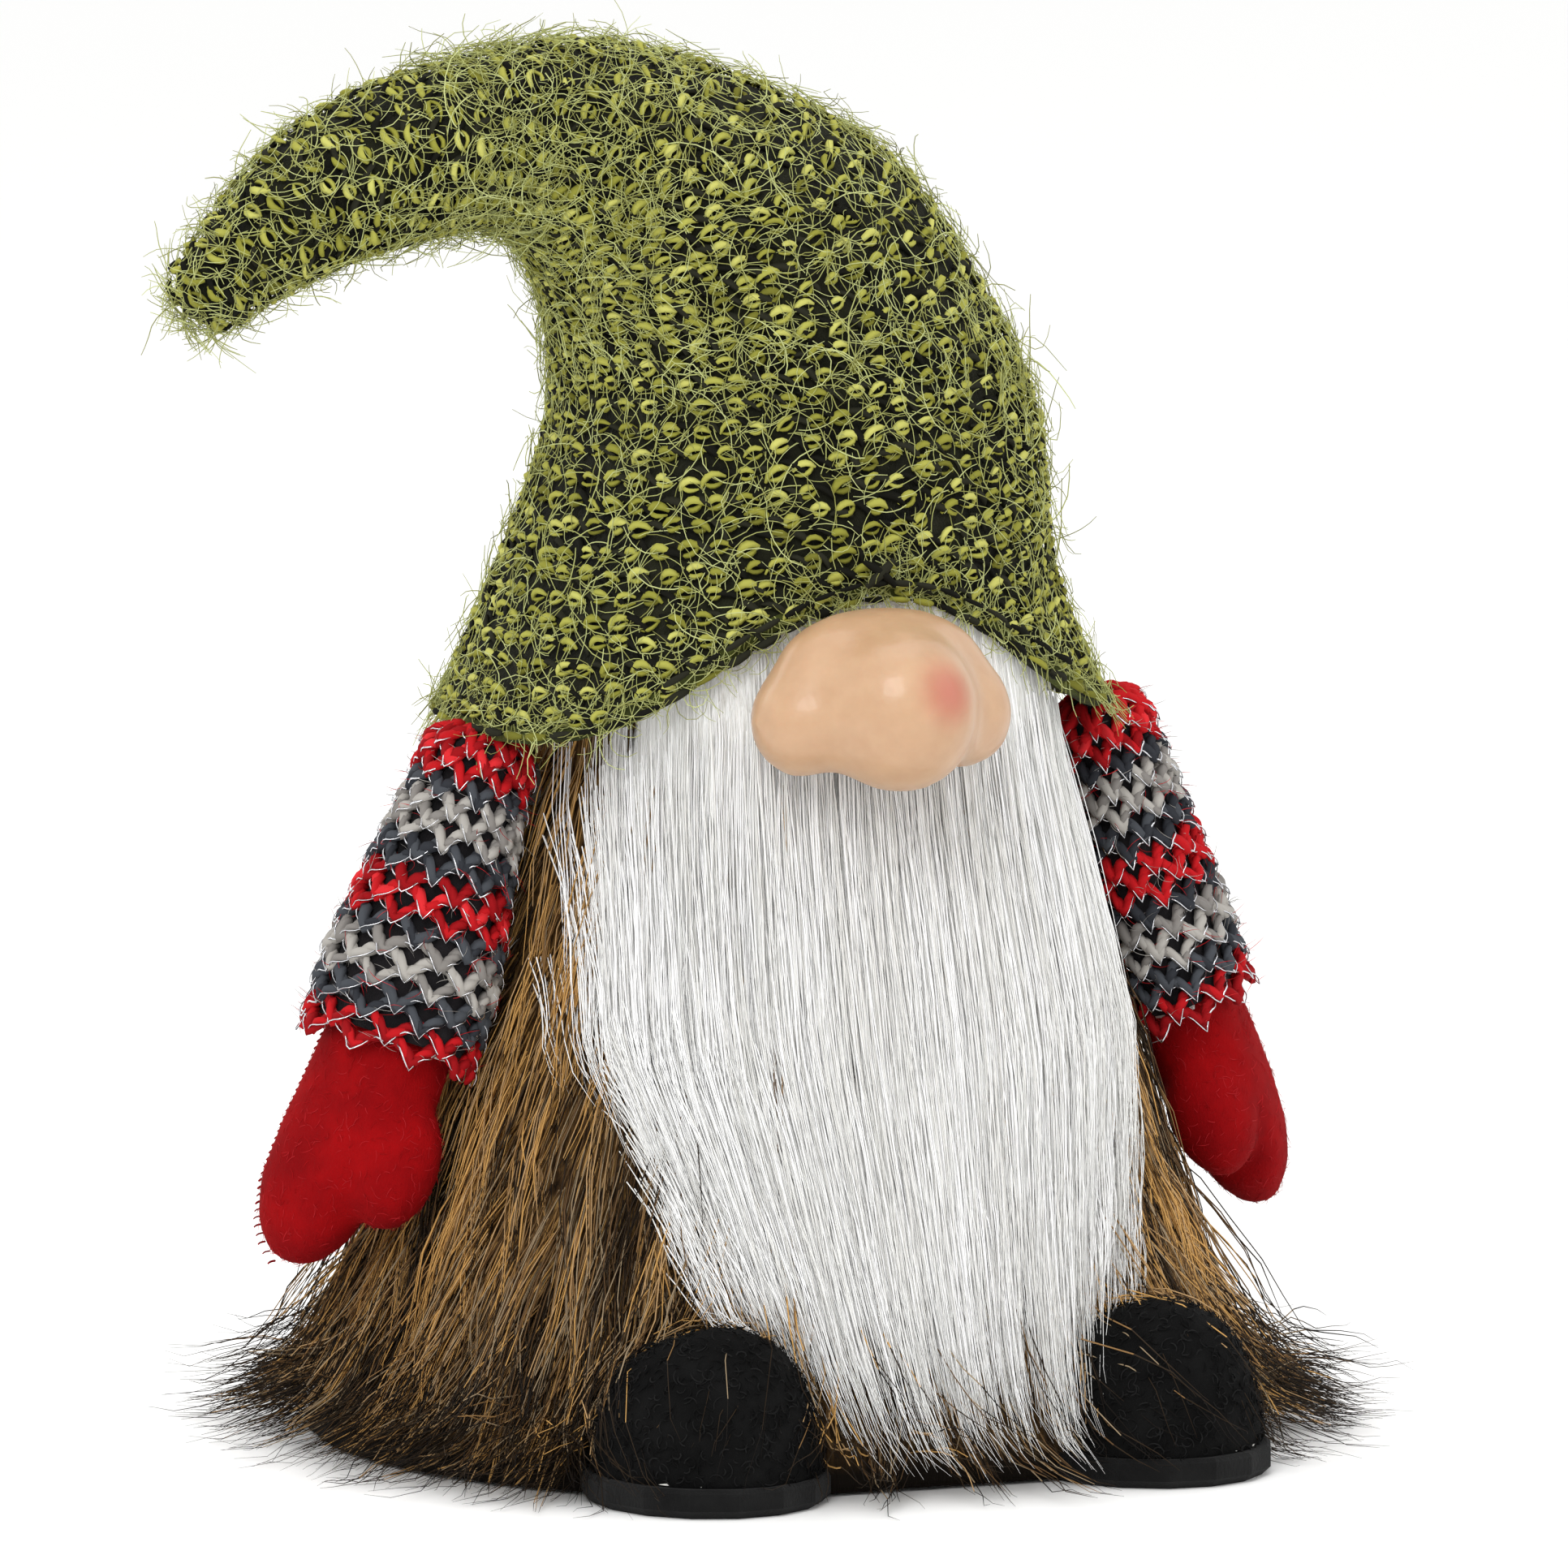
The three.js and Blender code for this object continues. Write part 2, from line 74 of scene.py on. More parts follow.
def make_camera():
    lens = bpy.data.cameras.new("camera")
    lens.lens = lens.sensor_width * VIEW_DISTANCE / FRAME_WIDTH
    camera = bpy.data.objects.new("camera", lens)
    bpy.context.scene.collection.objects.link(camera)
    level = math.cos(VIEW_RISE)
    towards = Vector((math.sin(VIEW_TURN) * level, -math.cos(VIEW_TURN) * level, math.sin(VIEW_RISE)))
    camera.location = LOOK_AT + towards * VIEW_DISTANCE
    camera.rotation_euler = (-towards).to_track_quat("-Z", "Y").to_euler()
    bpy.context.scene.camera = camera


def make_lamp(name, place, size, power):
    lamp = bpy.data.lights.new(name, "AREA")
    lamp.size = size
    lamp.energy = power
    holder = bpy.data.objects.new(name, lamp)
    bpy.context.scene.collection.objects.link(holder)
    holder.location = place
    holder.rotation_euler = (LOOK_AT - Vector(place)).to_track_quat("-Z", "Y").to_euler()
    holder.visible_camera = False


def make_studio():
    for name, (place, size, power) in LAMPS.items():
        make_lamp(name, place, size, power)
    world = bpy.data.worlds.new("studio")
    world.use_nodes = True
    world.node_tree.nodes["Background"].inputs["Color"].default_value = (1, 1, 1, 1)
    world.node_tree.nodes["Background"].inputs["Strength"].default_value = 1.0
    bpy.context.scene.world = world
    bpy.context.scene.view_settings.view_transform = "Standard"
    ends = (-FLOOR_HALF, FLOOR_HALF)
    floor = mesh_piece("floor", [(x, y, 0) for y in ends for x in ends], [(0, 1, 3, 2)], smooth=False)
    wear(floor, coat_of("floor_card", "#fbfbfa", 0.8))


# ---- materials ----
def linear(colour):
    """A #rrggbb colour as linear light."""
    parts = [int(colour[i : i + 2], 16) / 255 for i in (1, 3, 5)]
    return [c / 12.92 if c <= 0.04045 else ((c + 0.055) / 1.055) ** 2.4 for c in parts] + [1]


def coat_of(name, colour, roughness, **others):
    """A material whose surface is the same all over. others are further shader sockets by name."""
    made = bpy.data.materials.new(name)
    made.use_nodes = True
    shader = made.node_tree.nodes["Principled BSDF"]
    shader.inputs["Base Color"].default_value = linear(colour)
    shader.inputs["Roughness"].default_value = roughness
    for socket, value in others.items():
        shader.inputs[socket.replace("_", " ")].default_value = value
    made.diffuse_color = linear(colour)
    return made


class Pattern:
    """Adds nodes to a material and joins them in plain calls."""

    def __init__(self, material):
        self.tree = material.node_tree
        self.shader = self.tree.nodes["Principled BSDF"]

    def node(self, kind, inputs=None, **settings):
        made = self.tree.nodes.new(kind)
        for key, value in settings.items():
            setattr(made, key, value)
        for key, value in (inputs or {}).items():
            if isinstance(value, bpy.types.NodeSocket):
                self.tree.links.new(value, made.inputs[key])
            else:
                made.inputs[key].default_value = value
        return made

    def place(self, scale=(1, 1, 1)):
        """Object coordinates in metres, stretched by scale."""
        where = self.node("ShaderNodeTexCoord").outputs["Object"]
        return self.node("ShaderNodeMapping", {"Vector": where, "Scale": scale}).outputs["Vector"]

    def grain(self, size, stretch=(1, 1, 1), detail=4, roughness=0.55):
        """Noise from 0 to 1 whose lumps are about size metres across."""
        where = self.place(tuple(s / size for s in stretch))
        settings = {"Vector": where, "Scale": 1.0, "Detail": detail, "Roughness": roughness}
        return self.node("ShaderNodeTexNoise", settings).outputs["Fac"]

    def ramp(self, value, stops):
        made = self.node("ShaderNodeValToRGB", {"Fac": value})
        while len(made.color_ramp.elements) < len(stops):
            made.color_ramp.elements.new(0.5)
        for element, (at, colour) in zip(made.color_ramp.elements, stops):
            element.position = at
            element.color = linear(colour)
        return made.outputs["Color"]

    def mix(self, share, one, two):
        made = self.node("ShaderNodeMix", data_type="RGBA")
        for key, value in ((0, share), (6, one), (7, two)):
            if isinstance(value, bpy.types.NodeSocket):
                self.tree.links.new(value, made.inputs[key])
            else:
                made.inputs[key].default_value = value
        return made.outputs[2]

    def colour(self, socket):
        self.tree.links.new(socket, self.shader.inputs["Base Color"])

    def relief(self, height, depth):
        """Bumps depth metres high."""
        inputs = {"Height": height, "Distance": depth, "Strength": 1.0}
        made = self.node("ShaderNodeBump", inputs).outputs["Normal"]
        self.tree.links.new(made, self.shader.inputs["Normal"])


MATT = {"Specular_IOR_Level": 0.1}  # wool, felt and fur hardly shine
FLOOR_SHADE_LOW, FLOOR_SHADE_HIGH = 5 * MM, 26 * MM  # between these heights the coat's underlayer darkens to its foot colour: painted shade at the floor, which also stands for the dark hair tips there
STREAK_DEPTH = 1.2 * MM
BLOTCH = 12 * MM


def matt_tones(roughness, colours):
    """One plain matt material for each name and colour."""
    return [coat_of(name, colour, roughness, **MATT) for name, colour in colours.items()]


def streaky(name, stops, roughness, streak, along=0.05, foot=None):
    """Fur seen as a mass: thin streaks that run downwards. It darkens to the foot colour at the floor:
    painted shade there, which also stands for the dark hair tips.
    """
    made = coat_of(name, stops[len(stops) // 2][1], roughness, **MATT)
    pattern = Pattern(made)
    fine = pattern.grain(streak, (1, 1, streak / along))
    tone = pattern.ramp(fine, stops)
    # painted shade: near the floor the streak colour is mixed towards the dark foot colour
    if foot:
        where = pattern.node("ShaderNodeTexCoord").outputs["Object"]
        height = pattern.node("ShaderNodeSeparateXYZ", {"Vector": where}).outputs["Z"]
        inputs = {"Value": height, "From Min": FLOOR_SHADE_LOW, "From Max": FLOOR_SHADE_HIGH}
        share = pattern.node("ShaderNodeMapRange", inputs).outputs["Result"]
        tone = pattern.mix(share, linear(foot), tone)
    pattern.colour(tone)
    pattern.relief(fine, STREAK_DEPTH)
    return made


def fibrous(name, dark, light, roughness, fibre=0.0007, sheen=0.05, depth=0.0004):
    """Cloth made of matted fibres, such as felt or fleece."""
    made = coat_of(name, light, roughness, Sheen_Weight=sheen, Sheen_Roughness=0.5, **MATT)
    pattern = Pattern(made)
    blotch = pattern.grain(BLOTCH, detail=3)
    pattern.colour(pattern.ramp(blotch, [(0.3, dark), (0.7, light)]))
    fine = pattern.grain(fibre, (1, 1, 0.5), detail=6, roughness=0.7)
    pattern.relief(fine, depth)
    return made


# ---- meshes ----
def mesh_piece(name, points, faces, smooth=True):
    data = bpy.data.meshes.new(name)
    data.from_pydata([tuple(p) for p in points], [], [tuple(f) for f in faces])
    data.polygons.foreach_set("use_smooth", [smooth] * len(data.polygons))
    data.update()
    piece = bpy.data.objects.new(name, data)
    bpy.context.scene.collection.objects.link(piece)
    return piece


def wear(piece, *materials):
    """Gives a piece its materials in slot order."""
    piece.data.materials.clear()
    for material in materials:
        piece.data.materials.append(material)
    return piece


def net_faces(rows, columns, closed=True):
    """Faces over rows of points, joined round where closed."""
    faces = []
    for r in range(rows - 1):
        for c in range(columns if closed else columns - 1):
            n = (c + 1) % columns
            faces.append((r * columns + c, r * columns + n, (r + 1) * columns + n, (r + 1) * columns + c))
    return faces


def face_outwards(piece):
    """Turns every face of a closed mesh outwards, by the sign of its volume."""
    data = piece.data
    data.calc_loop_triangles()
    points = np.array([v.co for v in data.vertices])
    corners = points[np.array([t.vertices for t in data.loop_triangles])]
    volume = np.einsum("ij,ij->i", corners[:, 0], np.cross(corners[:, 1], corners[:, 2])).sum()
    if volume < 0:
        data.flip_normals()
    return piece


def applied(piece):
    """The piece with its modifiers made real, in a new plain mesh with no empty material slots."""
    bpy.context.view_layer.update()
    graph = bpy.context.evaluated_depsgraph_get()
    data = bpy.data.meshes.new_from_object(piece.evaluated_get(graph))
    old = piece.data
    piece.modifiers.clear()
    piece.data = data
    bpy.data.meshes.remove(old)
    data.name = piece.name
    for number in reversed(range(len(data.materials))):
        if data.materials[number] is None:
            data.materials.pop(index=number)
    return piece


def modifier(piece, kind, **settings):
    made = piece.modifiers.new(kind.lower(), kind)
    for key, value in settings.items():
        setattr(made, key, value)
    return made


def smooth_line(points, steps=12):
    """A smooth line through the points, with steps on each stretch."""
    points = np.array(points, float)
    ends = np.vstack([2 * points[0] - points[1], points, 2 * points[-1] - points[-2]])
    line = []
    for i in range(len(points) - 1):
        a, b, c, d = ends[i : i + 4]
        for t in np.linspace(0, 1, steps, endpoint=False):
            slope, bow = (c - a) * t, (2 * a - 5 * b + 4 * c - d) * t**2
            line.append(0.5 * (2 * b + slope + bow + (3 * b - a - 3 * c + d) * t**3))
    return np.vstack([line, points[-1]])


def unit(vectors):
    return vectors / np.maximum(np.linalg.norm(vectors, axis=-1, keepdims=True), 1e-12)


# ---- strands: hair, fuzz and yarn ----
class Tree:
    """A Geometry Nodes tree with named inputs, built in plain calls."""

    def __init__(self, name, inputs):
        self.group = bpy.data.node_groups.new(name, "GeometryNodeTree")
        face = self.group.interface
        face.new_socket("Geometry", in_out="INPUT", socket_type="NodeSocketGeometry")
        for key, kind in inputs.items():
            face.new_socket(key, in_out="INPUT", socket_type=f"NodeSocket{kind}")
        face.new_socket("Geometry", in_out="OUTPUT", socket_type="NodeSocketGeometry")
        self.given = self.group.nodes.new("NodeGroupInput").outputs
        self.made = self.group.nodes.new("NodeGroupOutput")

    def node(self, kind, inputs=None, **settings):
        made = self.group.nodes.new(kind)
        for key, value in settings.items():
            setattr(made, key, value)
        for key, value in (inputs or {}).items():
            if isinstance(value, bpy.types.NodeSocket):
                self.group.links.new(value, made.inputs[key])
            else:
                made.inputs[key].default_value = value
        return made

    def maths(self, operation, one, two=0.0, three=0.0):
        return self.node("ShaderNodeMath", {0: one, 1: two, 2: three}, operation=operation).outputs[0]

    def vector(self, operation, one, two=None, scale=None):
        inputs = {0: one}
        if two is not None:
            inputs[1] = two
        if scale is not None:
            inputs["Scale"] = scale
        return self.node("ShaderNodeVectorMath", inputs, operation=operation).outputs[0]

    def draw(self, kind, low, high, which, seed):
        """A random value for each item numbered by which."""
        made = self.node("FunctionNodeRandomValue", data_type=kind)
        at = {"FLOAT": (2, 3, 1), "FLOAT_VECTOR": (0, 1, 0)}[kind]
        made.inputs[at[0]].default_value = low
        made.inputs[at[1]].default_value = high
        self.group.links.new(which, made.inputs["ID"])
        self.group.links.new(seed, made.inputs["Seed"])
        return made.outputs[at[2]]

    def read(self, name):
        made = self.node("GeometryNodeInputNamedAttribute", {"Name": name}, data_type="FLOAT")
        return made.outputs["Attribute"]

    def keep(self, shape, name, value):
        inputs = {"Geometry": shape, "Name": name, "Value": value}
        return self.node("GeometryNodeStoreNamedAttribute", inputs, domain="POINT").outputs["Geometry"]

    def dress(self, shape, materials, value):
        """Sets each material where value, rounded, is its number."""
        for number, material in enumerate(materials):
            alike = self.node("FunctionNodeCompare", {"A": value, "B": float(number)}, operation="EQUAL")
            alike.inputs["Epsilon"].default_value = 0.5
            inputs = {"Geometry": shape, "Selection": alike.outputs[0], "Material": material}
            shape = self.node("GeometryNodeSetMaterial", inputs).outputs["Geometry"]
        return shape

    def finish(self, shape):
        shape = self.node("GeometryNodeRealizeInstances", {"Geometry": shape}).outputs["Geometry"]
        self.group.links.new(shape, self.made.inputs["Geometry"])
        return self.group


STRAND_INPUTS = {
    "Hairs in a lock": "Int",
    "Root spread": "Float",
    "Tip spread": "Float",
    "Wave": "Float",
    "Wave size": "Float",
    "Thickness": "Float",
    "Taper": "Float",
    "Shortening": "Float",
    "Tone jitter": "Float",
    "Tip share": "Float",
    "Seed": "Int",
}
PLAIN_STRAND = {
    "Hairs in a lock": 1,
    "Root spread": 0.0,
    "Tip spread": 0.0,
    "Wave": 0.0,
    "Wave size": 60.0,
    "Thickness": 0.2 * MM,
    "Taper": 0.8,
    "Shortening": 0.0,
    "Tone jitter": 0.5,
    "Tip share": 2.0,
    "Seed": 3,
}


SCATTER_SHIFT = 3.0  # sets the hairs of a lock apart in the noise that sways them
TAPER_POWER = 3.0  # the higher, the nearer to its end a hair grows thin
STOUT, SLIM = 1.25, 0.75  # a hair's thickness varies between these shares
NO_TIP = 90.0  # a number no tip tone has


def strand_tree(name, tones, tip_tones, sides):
    """Turns guide lines into locks of tapered hairs. A guide line's own tone, a little changed for each
    hair, picks one of the tones, and past Tip share of the hair's length one of tip_tones."""
    tree = Tree(name, STRAND_INPUTS)
    given = tree.given
    lines = tree.node("GeometryNodeMeshToCurve", {"Mesh": given["Geometry"]}).outputs["Curve"]
    inputs = {"Geometry": lines, "Amount": given["Hairs in a lock"]}
    lines = tree.node("GeometryNodeDuplicateElements", inputs, domain="SPLINE").outputs["Geometry"]
    index = tree.node("GeometryNodeInputIndex").outputs[0]
    cut = tree.maths("MULTIPLY", tree.draw("FLOAT", 0.0, 1.0, index, given["Seed"]), given["Shortening"])
    trim = tree.node("GeometryNodeTrimCurve", {"Curve": lines}, mode="FACTOR")
    tree.group.links.new(tree.maths("SUBTRACT", 1.0, cut), trim.inputs[3])
    hair = tree.node("GeometryNodeCurveOfPoint").outputs["Curve Index"]
    along = tree.node("GeometryNodeSplineParameter").outputs["Factor"]
    lines = tree.keep(trim.outputs["Curve"], "along", along)
    scatter = tree.draw("FLOAT_VECTOR", (-1, -1, -1), (1, 1, 1), hair, given["Seed"])
    inputs = {"Factor": along, 2: given["Root spread"], 3: given["Tip spread"]}
    spread = tree.node("ShaderNodeMix", inputs, data_type="FLOAT").outputs[0]
    place = tree.node("GeometryNodeInputPosition").outputs[0]
    where = tree.vector("SCALE", place, scale=given["Wave size"])
    where = tree.vector("ADD", where, tree.vector("SCALE", scatter, scale=SCATTER_SHIFT))
    sway = tree.node("ShaderNodeTexNoise", {"Vector": where, "Scale": 1.0, "Detail": 1.0}).outputs["Color"]
    sway = tree.vector("SUBTRACT", sway, (0.5, 0.5, 0.5))
    sway = tree.vector("SCALE", sway, scale=tree.maths("MULTIPLY", along, given["Wave"]))
    offset = tree.vector("ADD", tree.vector("SCALE", scatter, scale=spread), sway)
    lines = tree.node("GeometryNodeSetPosition", {"Geometry": lines, "Offset": offset}).outputs["Geometry"]
    place = tree.node("GeometryNodeInputPosition").outputs[0]
    now = tree.node("ShaderNodeSeparateXYZ", {"Vector": place}).outputs
    inputs = {"X": now["X"], "Y": now["Y"], "Z": tree.maths("MAXIMUM", now["Z"], FLOOR_GAP)}
    above = tree.node("ShaderNodeCombineXYZ", inputs).outputs["Vector"]
    lines = tree.node("GeometryNodeSetPosition", {"Geometry": lines, "Position": above}).outputs["Geometry"]
    taper = tree.maths("MULTIPLY", tree.maths("POWER", along, TAPER_POWER), given["Taper"])
    stout = tree.draw("FLOAT", SLIM, STOUT, hair, given["Seed"])
    radius = tree.maths("MULTIPLY", tree.maths("SUBTRACT", 1.0, taper), stout)
    radius = tree.maths("MULTIPLY", radius, tree.read("girth"))
    radius = tree.maths("MULTIPLY", radius, given["Thickness"])
    later = tree.maths("ADD", given["Seed"], 1)
    change = tree.maths("MULTIPLY", tree.draw("FLOAT", -1.0, 1.0, hair, later), given["Tone jitter"])
    tone = tree.maths("ADD", tree.read("tone"), change)
    tone = tree.maths("MINIMUM", tree.maths("MAXIMUM", tone, 0.0), len(tones) - 1.0)
    lines = tree.keep(lines, "tone", tone)
    ring = tree.node("GeometryNodeCurvePrimitiveCircle", {"Resolution": sides, "Radius": 1.0})
    inputs = {"Curve": lines, "Profile Curve": ring.outputs["Curve"], "Scale": radius, "Fill Caps": True}
    shape = tree.node("GeometryNodeCurveToMesh", inputs).outputs["Mesh"]
    shape = tree.dress(shape, tones, tree.read("tone"))
    if tip_tones:
        past = tree.maths("GREATER_THAN", tree.read("along"), given["Tip share"])
        tone = tree.maths("MODULO", tree.maths("ADD", tree.read("tone"), 0.5), float(len(tip_tones)))
        tone = tree.maths("SUBTRACT", tone, 0.5)
        shown = tree.maths("MULTIPLY", past, tree.maths("ADD", tone, NO_TIP))
        ends = tree.maths("SUBTRACT", shown, NO_TIP)
        shape = tree.dress(shape, tip_tones, ends)
    return tree.finish(shape)


def set_inputs(made, values):
    """Sets a Geometry Nodes modifier's inputs by name, through each socket's identifier."""
    for item in made.node_group.interface.items_tree:
        if item.item_type == "SOCKET" and item.in_out == "INPUT" and item.name in values:
            made[item.identifier] = values[item.name]


def line_mesh(name, guides, girth, tone):
    """Guide lines as loose edges. girth is one value for each step, tone one for each line."""
    lines, steps, _ = guides.shape
    data = bpy.data.meshes.new(name)
    data.vertices.add(lines * steps)
    data.vertices.foreach_set("co", guides.reshape(-1).astype(np.float32))
    first = (np.arange(lines)[:, None] * steps + np.arange(steps - 1)).reshape(-1)
    data.edges.add(len(first))
    data.edges.foreach_set("vertices", np.stack([first, first + 1], 1).reshape(-1).astype(np.int32))
    for key, values in (("girth", np.tile(girth, lines)), ("tone", np.repeat(tone, steps))):
        attribute = data.attributes.new(key, "FLOAT", "POINT")
        attribute.data.foreach_set("value", values.astype(np.float32))
    data.update()
    return data


def settle(piece, rest):
    """Fixes a finished piece to a body given by name; given anything else, it bakes the piece's place into
    its mesh.
    """
    if isinstance(rest, str):
        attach(piece, rest)
    else:
        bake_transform(piece)
    return piece


def strands(name, guides, tones, rest, slot, tip_tones=(), sides=3, girth=None, tone=None, **values):
    """Hairs or yarns over guide lines: an array of lines by steps by 3, in metres."""
    lines, steps, _ = guides.shape
    girth = np.ones(steps) if girth is None else girth
    tone = draw_between(0, len(tones) - 1, lines) if tone is None else tone
    piece = bpy.data.objects.new(name, line_mesh(name, guides, girth, tone))
    bpy.context.scene.collection.objects.link(piece)
    made = piece.modifiers.new("strands", "NODES")
    made.node_group = strand_tree(name + "_strands", tones, tip_tones, sides)
    named = {key.replace("_", " ").capitalize(): value for key, value in values.items()}
    set_inputs(made, PLAIN_STRAND | named)
    applied(piece)
    data = piece.data
    data.polygons.foreach_set("use_smooth", [True] * len(data.polygons))
    for attribute in ("along", "tone", "girth"):
        if attribute in data.attributes:
            data.attributes.remove(data.attributes[attribute])
    return settle(face_outwards(piece), rest)


def draw_between(low, high, count):
    return rng.uniform(low, high, count)


def curls(points, normals, length, bend, lift, steps):
    """Curved hairs from points on a surface: each arcs along the surface and stands off it by lift."""
    side = unit(np.cross(normals, rng.normal(size=normals.shape)))
    other = np.cross(normals, side) * rng.choice([-1, 1], len(points))[:, None]
    share = np.linspace(0, 1, steps)[None, :, None]
    turn = (length / bend)[:, None, None] * share
    reach = bend[:, None, None] * (np.sin(turn) * side[:, None] + (1 - np.cos(turn)) * other[:, None])
    return points[:, None] + reach + normals[:, None] * (lift[:, None, None] * share**0.8)


def nap_of(spots, out, lengths, bends, lifts, steps):
    """Short curved hairs at spots on a surface. lengths, bends and lifts are the least and most, in mm."""
    amount = len(spots)
    length, bend, lift = (draw_between(*ends, amount) * MM for ends in (lengths, bends, lifts))
    return curls(spots, out, length, bend, lift, steps)


def spots_on(piece, count):
    """Random places on a mesh, with the way out of it at each."""
    data = piece.data
    data.calc_loop_triangles()
    points = np.array([v.co for v in data.vertices])
    corners = points[np.array([t.vertices for t in data.loop_triangles])]
    across = np.cross(corners[:, 1] - corners[:, 0], corners[:, 2] - corners[:, 0])
    area = np.linalg.norm(across, axis=1)
    chosen = rng.choice(len(area), count, p=area / area.sum())
    a, b = np.sqrt(rng.random(count))[:, None], rng.random(count)[:, None]
    pick = corners[chosen]
    return (1 - a) * pick[:, 0] + a * (1 - b) * pick[:, 1] + a * b * pick[:, 2], unit(across[chosen])


# ---- fur and beard: lines that fall down the body and spread on the floor ----
class Fall:
    """The outline of a round body, from the top down to the floor and out along it."""

    def __init__(self, outline):
        line = smooth_line(np.array(outline, float) * MM)
        self.far = np.concatenate([[0], np.cumsum(np.linalg.norm(np.diff(line, axis=0), axis=1))])
        self.line = line
        slope = unit(np.gradient(line, self.far, axis=0))
        self.out = np.stack([-slope[:, 1], slope[:, 0]], 1)
        self.length = self.far[-1]

    def read(self, column, far):
        return np.interp(far, self.far, column)

    def at(self, far, lift):
        """Radius and height a distance down the outline, lifted off it."""
        radius = self.read(self.line[:, 0], far) + self.read(self.out[:, 0], far) * lift
        return radius, self.read(self.line[:, 1], far) + self.read(self.out[:, 1], far) * lift

    def far_at(self, height):
        """How far down the outline a height in mm is."""
        return np.interp(-np.asarray(height) * MM, -self.line[:, 1], self.far)


COAT_OUTLINE = [(60, 178), (62, 155), (78, 98), (95, 45), (104, 22), (113, 10), (127, 4), (136, 2), (152, 2)]
coat = Fall(COAT_OUTLINE)
coat_skin = Fall(COAT_OUTLINE[:5] + [(110, 11), (115, 3)])
BOOT_NOTCH = (88 * MM, -101 * MM, 28 * MM)  # half width, how far forward the hem comes, height
BEARD_OUTLINE = [(56, 209), (61.5, 178), (63, 155), (79, 98), (97, 42), (112, 15), (126, 7), (140, 3)]
beard = Fall(BEARD_OUTLINE)


def round_the_boots(points, room):
    """Moves points that would be inside a boot out to its surface."""
    for side in ("right", "left"):
        low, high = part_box("boot_upper_" + side)
        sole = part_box("boot_sole_" + side)[0]
        centre = np.array([(low.x + high.x) / 2, (low.y + high.y) / 2, sole.z])
        radii = np.array([(high.x - low.x) / 2, (high.y - low.y) / 2, high.z - sole.z]) + room
        away = (points - centre) / radii
        far = np.linalg.norm(away, axis=-1, keepdims=True)
        points = np.where(far < 1, centre + away / np.maximum(far, 1e-6) * radii, points)
    return points


def fur_lines(angle, start, length, lift, twist, steps):
    """Guide lines down the coat from angle round the body, 0 in front, and start down the outline."""
    share = np.linspace(0, 1, steps)[None, :]
    far = start[:, None] + length[:, None] * share
    up = FUR_ROOT + (lift[:, None] - FUR_ROOT) * np.minimum(1, share / FUR_ROOT_SHARE) ** 0.7
    radius, height = coat.at(far, up)
    turn = angle[:, None] + twist[:, None] * share**1.5
    points = np.stack([radius * np.sin(turn), -radius * np.cos(turn), height], 2)
    points = round_the_boots(points, 1.2 * MM)
    points[..., 2] = np.maximum(points[..., 2], FLOOR_GAP)
    return points


FUR_TONES = [
    coat_of("fur_soot", "#2b2117", 0.55, **MATT),
    coat_of("fur_umber", "#624a30", 0.55, **MATT),
    coat_of("fur_ash", "#98856a", 0.5, **MATT),
    coat_of("fur_brown", "#8d6c44", 0.5, **MATT),
    coat_of("fur_tan", "#b8966a", 0.5, **MATT),
    coat_of("fur_gold", "#c99c5c", 0.48, **MATT),
]
FUR_TIPS = [
    coat_of("fur_tip_black", "#191410", 0.5, **MATT),
    coat_of("fur_tip_umber", "#31261a", 0.5, **MATT),
]
FUR_LAYERS, FUR_LOCKS, SPLAY_LOCKS = 3, 500, 480
FUR_LOCK = dict(root_spread=4.6 * MM, tip_spread=1.8 * MM, wave=4.5 * MM, wave_size=75.0, tone_jitter=1.4)
BOOT_ANGLE = 0.66  # most of the splay is kept this far, in radians, from the middle of the front
SPLAY_LOCK = FUR_LOCK | dict(tip_spread=3.4 * MM, wave=11 * MM)
FUR_ROOT = -4 * MM  # how far under the coat's outline a hair starts
FUR_ROOT_SHARE = 0.4  # the share of a hair's length over which it comes out
FUR_STOPS = [(0.3, "#1f160e"), (0.45, "#523c24"), (0.58, "#7d5f37"), (0.72, "#a98852")]
BEARD_STOPS = [(0.25, "#cbc9c4"), (0.4, "#e6e5e1"), (0.55, "#f5f5f3"), (0.75, "#ffffff")]


def revolved(name, fall, rows, columns, sink, bottom):
    """A closed body under a pile: the outline turned round, with ridges that run down it."""
    points = []
    for far in np.linspace(0, fall.length, rows):
        for turn in np.linspace(0, TURN, columns, endpoint=False):
            ridge = noise.noise(Vector((math.sin(turn) * 34, math.cos(turn) * 34, far * 28)))
            radius, height = fall.at(far, (sink + 1.6 * ridge) * MM)
            points.append((radius * math.sin(turn), -radius * math.cos(turn), max(height, 0.9 * MM)))
    faces = net_faces(rows, columns)
    last = (rows - 1) * columns
    points += [(0, 0, bottom), (0, 0, points[0][2])]
    faces += [(last + c, last + (c + 1) % columns, len(points) - 2) for c in range(columns)]
    faces += [((c + 1) % columns, c, len(points) - 1) for c in range(columns)]
    points = np.array(points)
    half, front, height = BOOT_NOTCH
    over = (np.abs(points[:, 0]) < half) & (points[:, 1] < front) & (points[:, 2] < height)
    points[over, 1] = front
    return face_outwards(mesh_piece(name, points, faces))


def streaks_of(angle, tones):
    """A tone for each lock, so that neighbours are alike and streaks run down the fur."""
    near = [noise.noise(Vector((math.sin(a) * 11, math.cos(a) * 11, 0.5))) for a in angle]
    return np.clip((np.array(near) * 1.5 + 0.5) * tones + rng.normal(0, 0.9, len(angle)), 0, tones - 1)


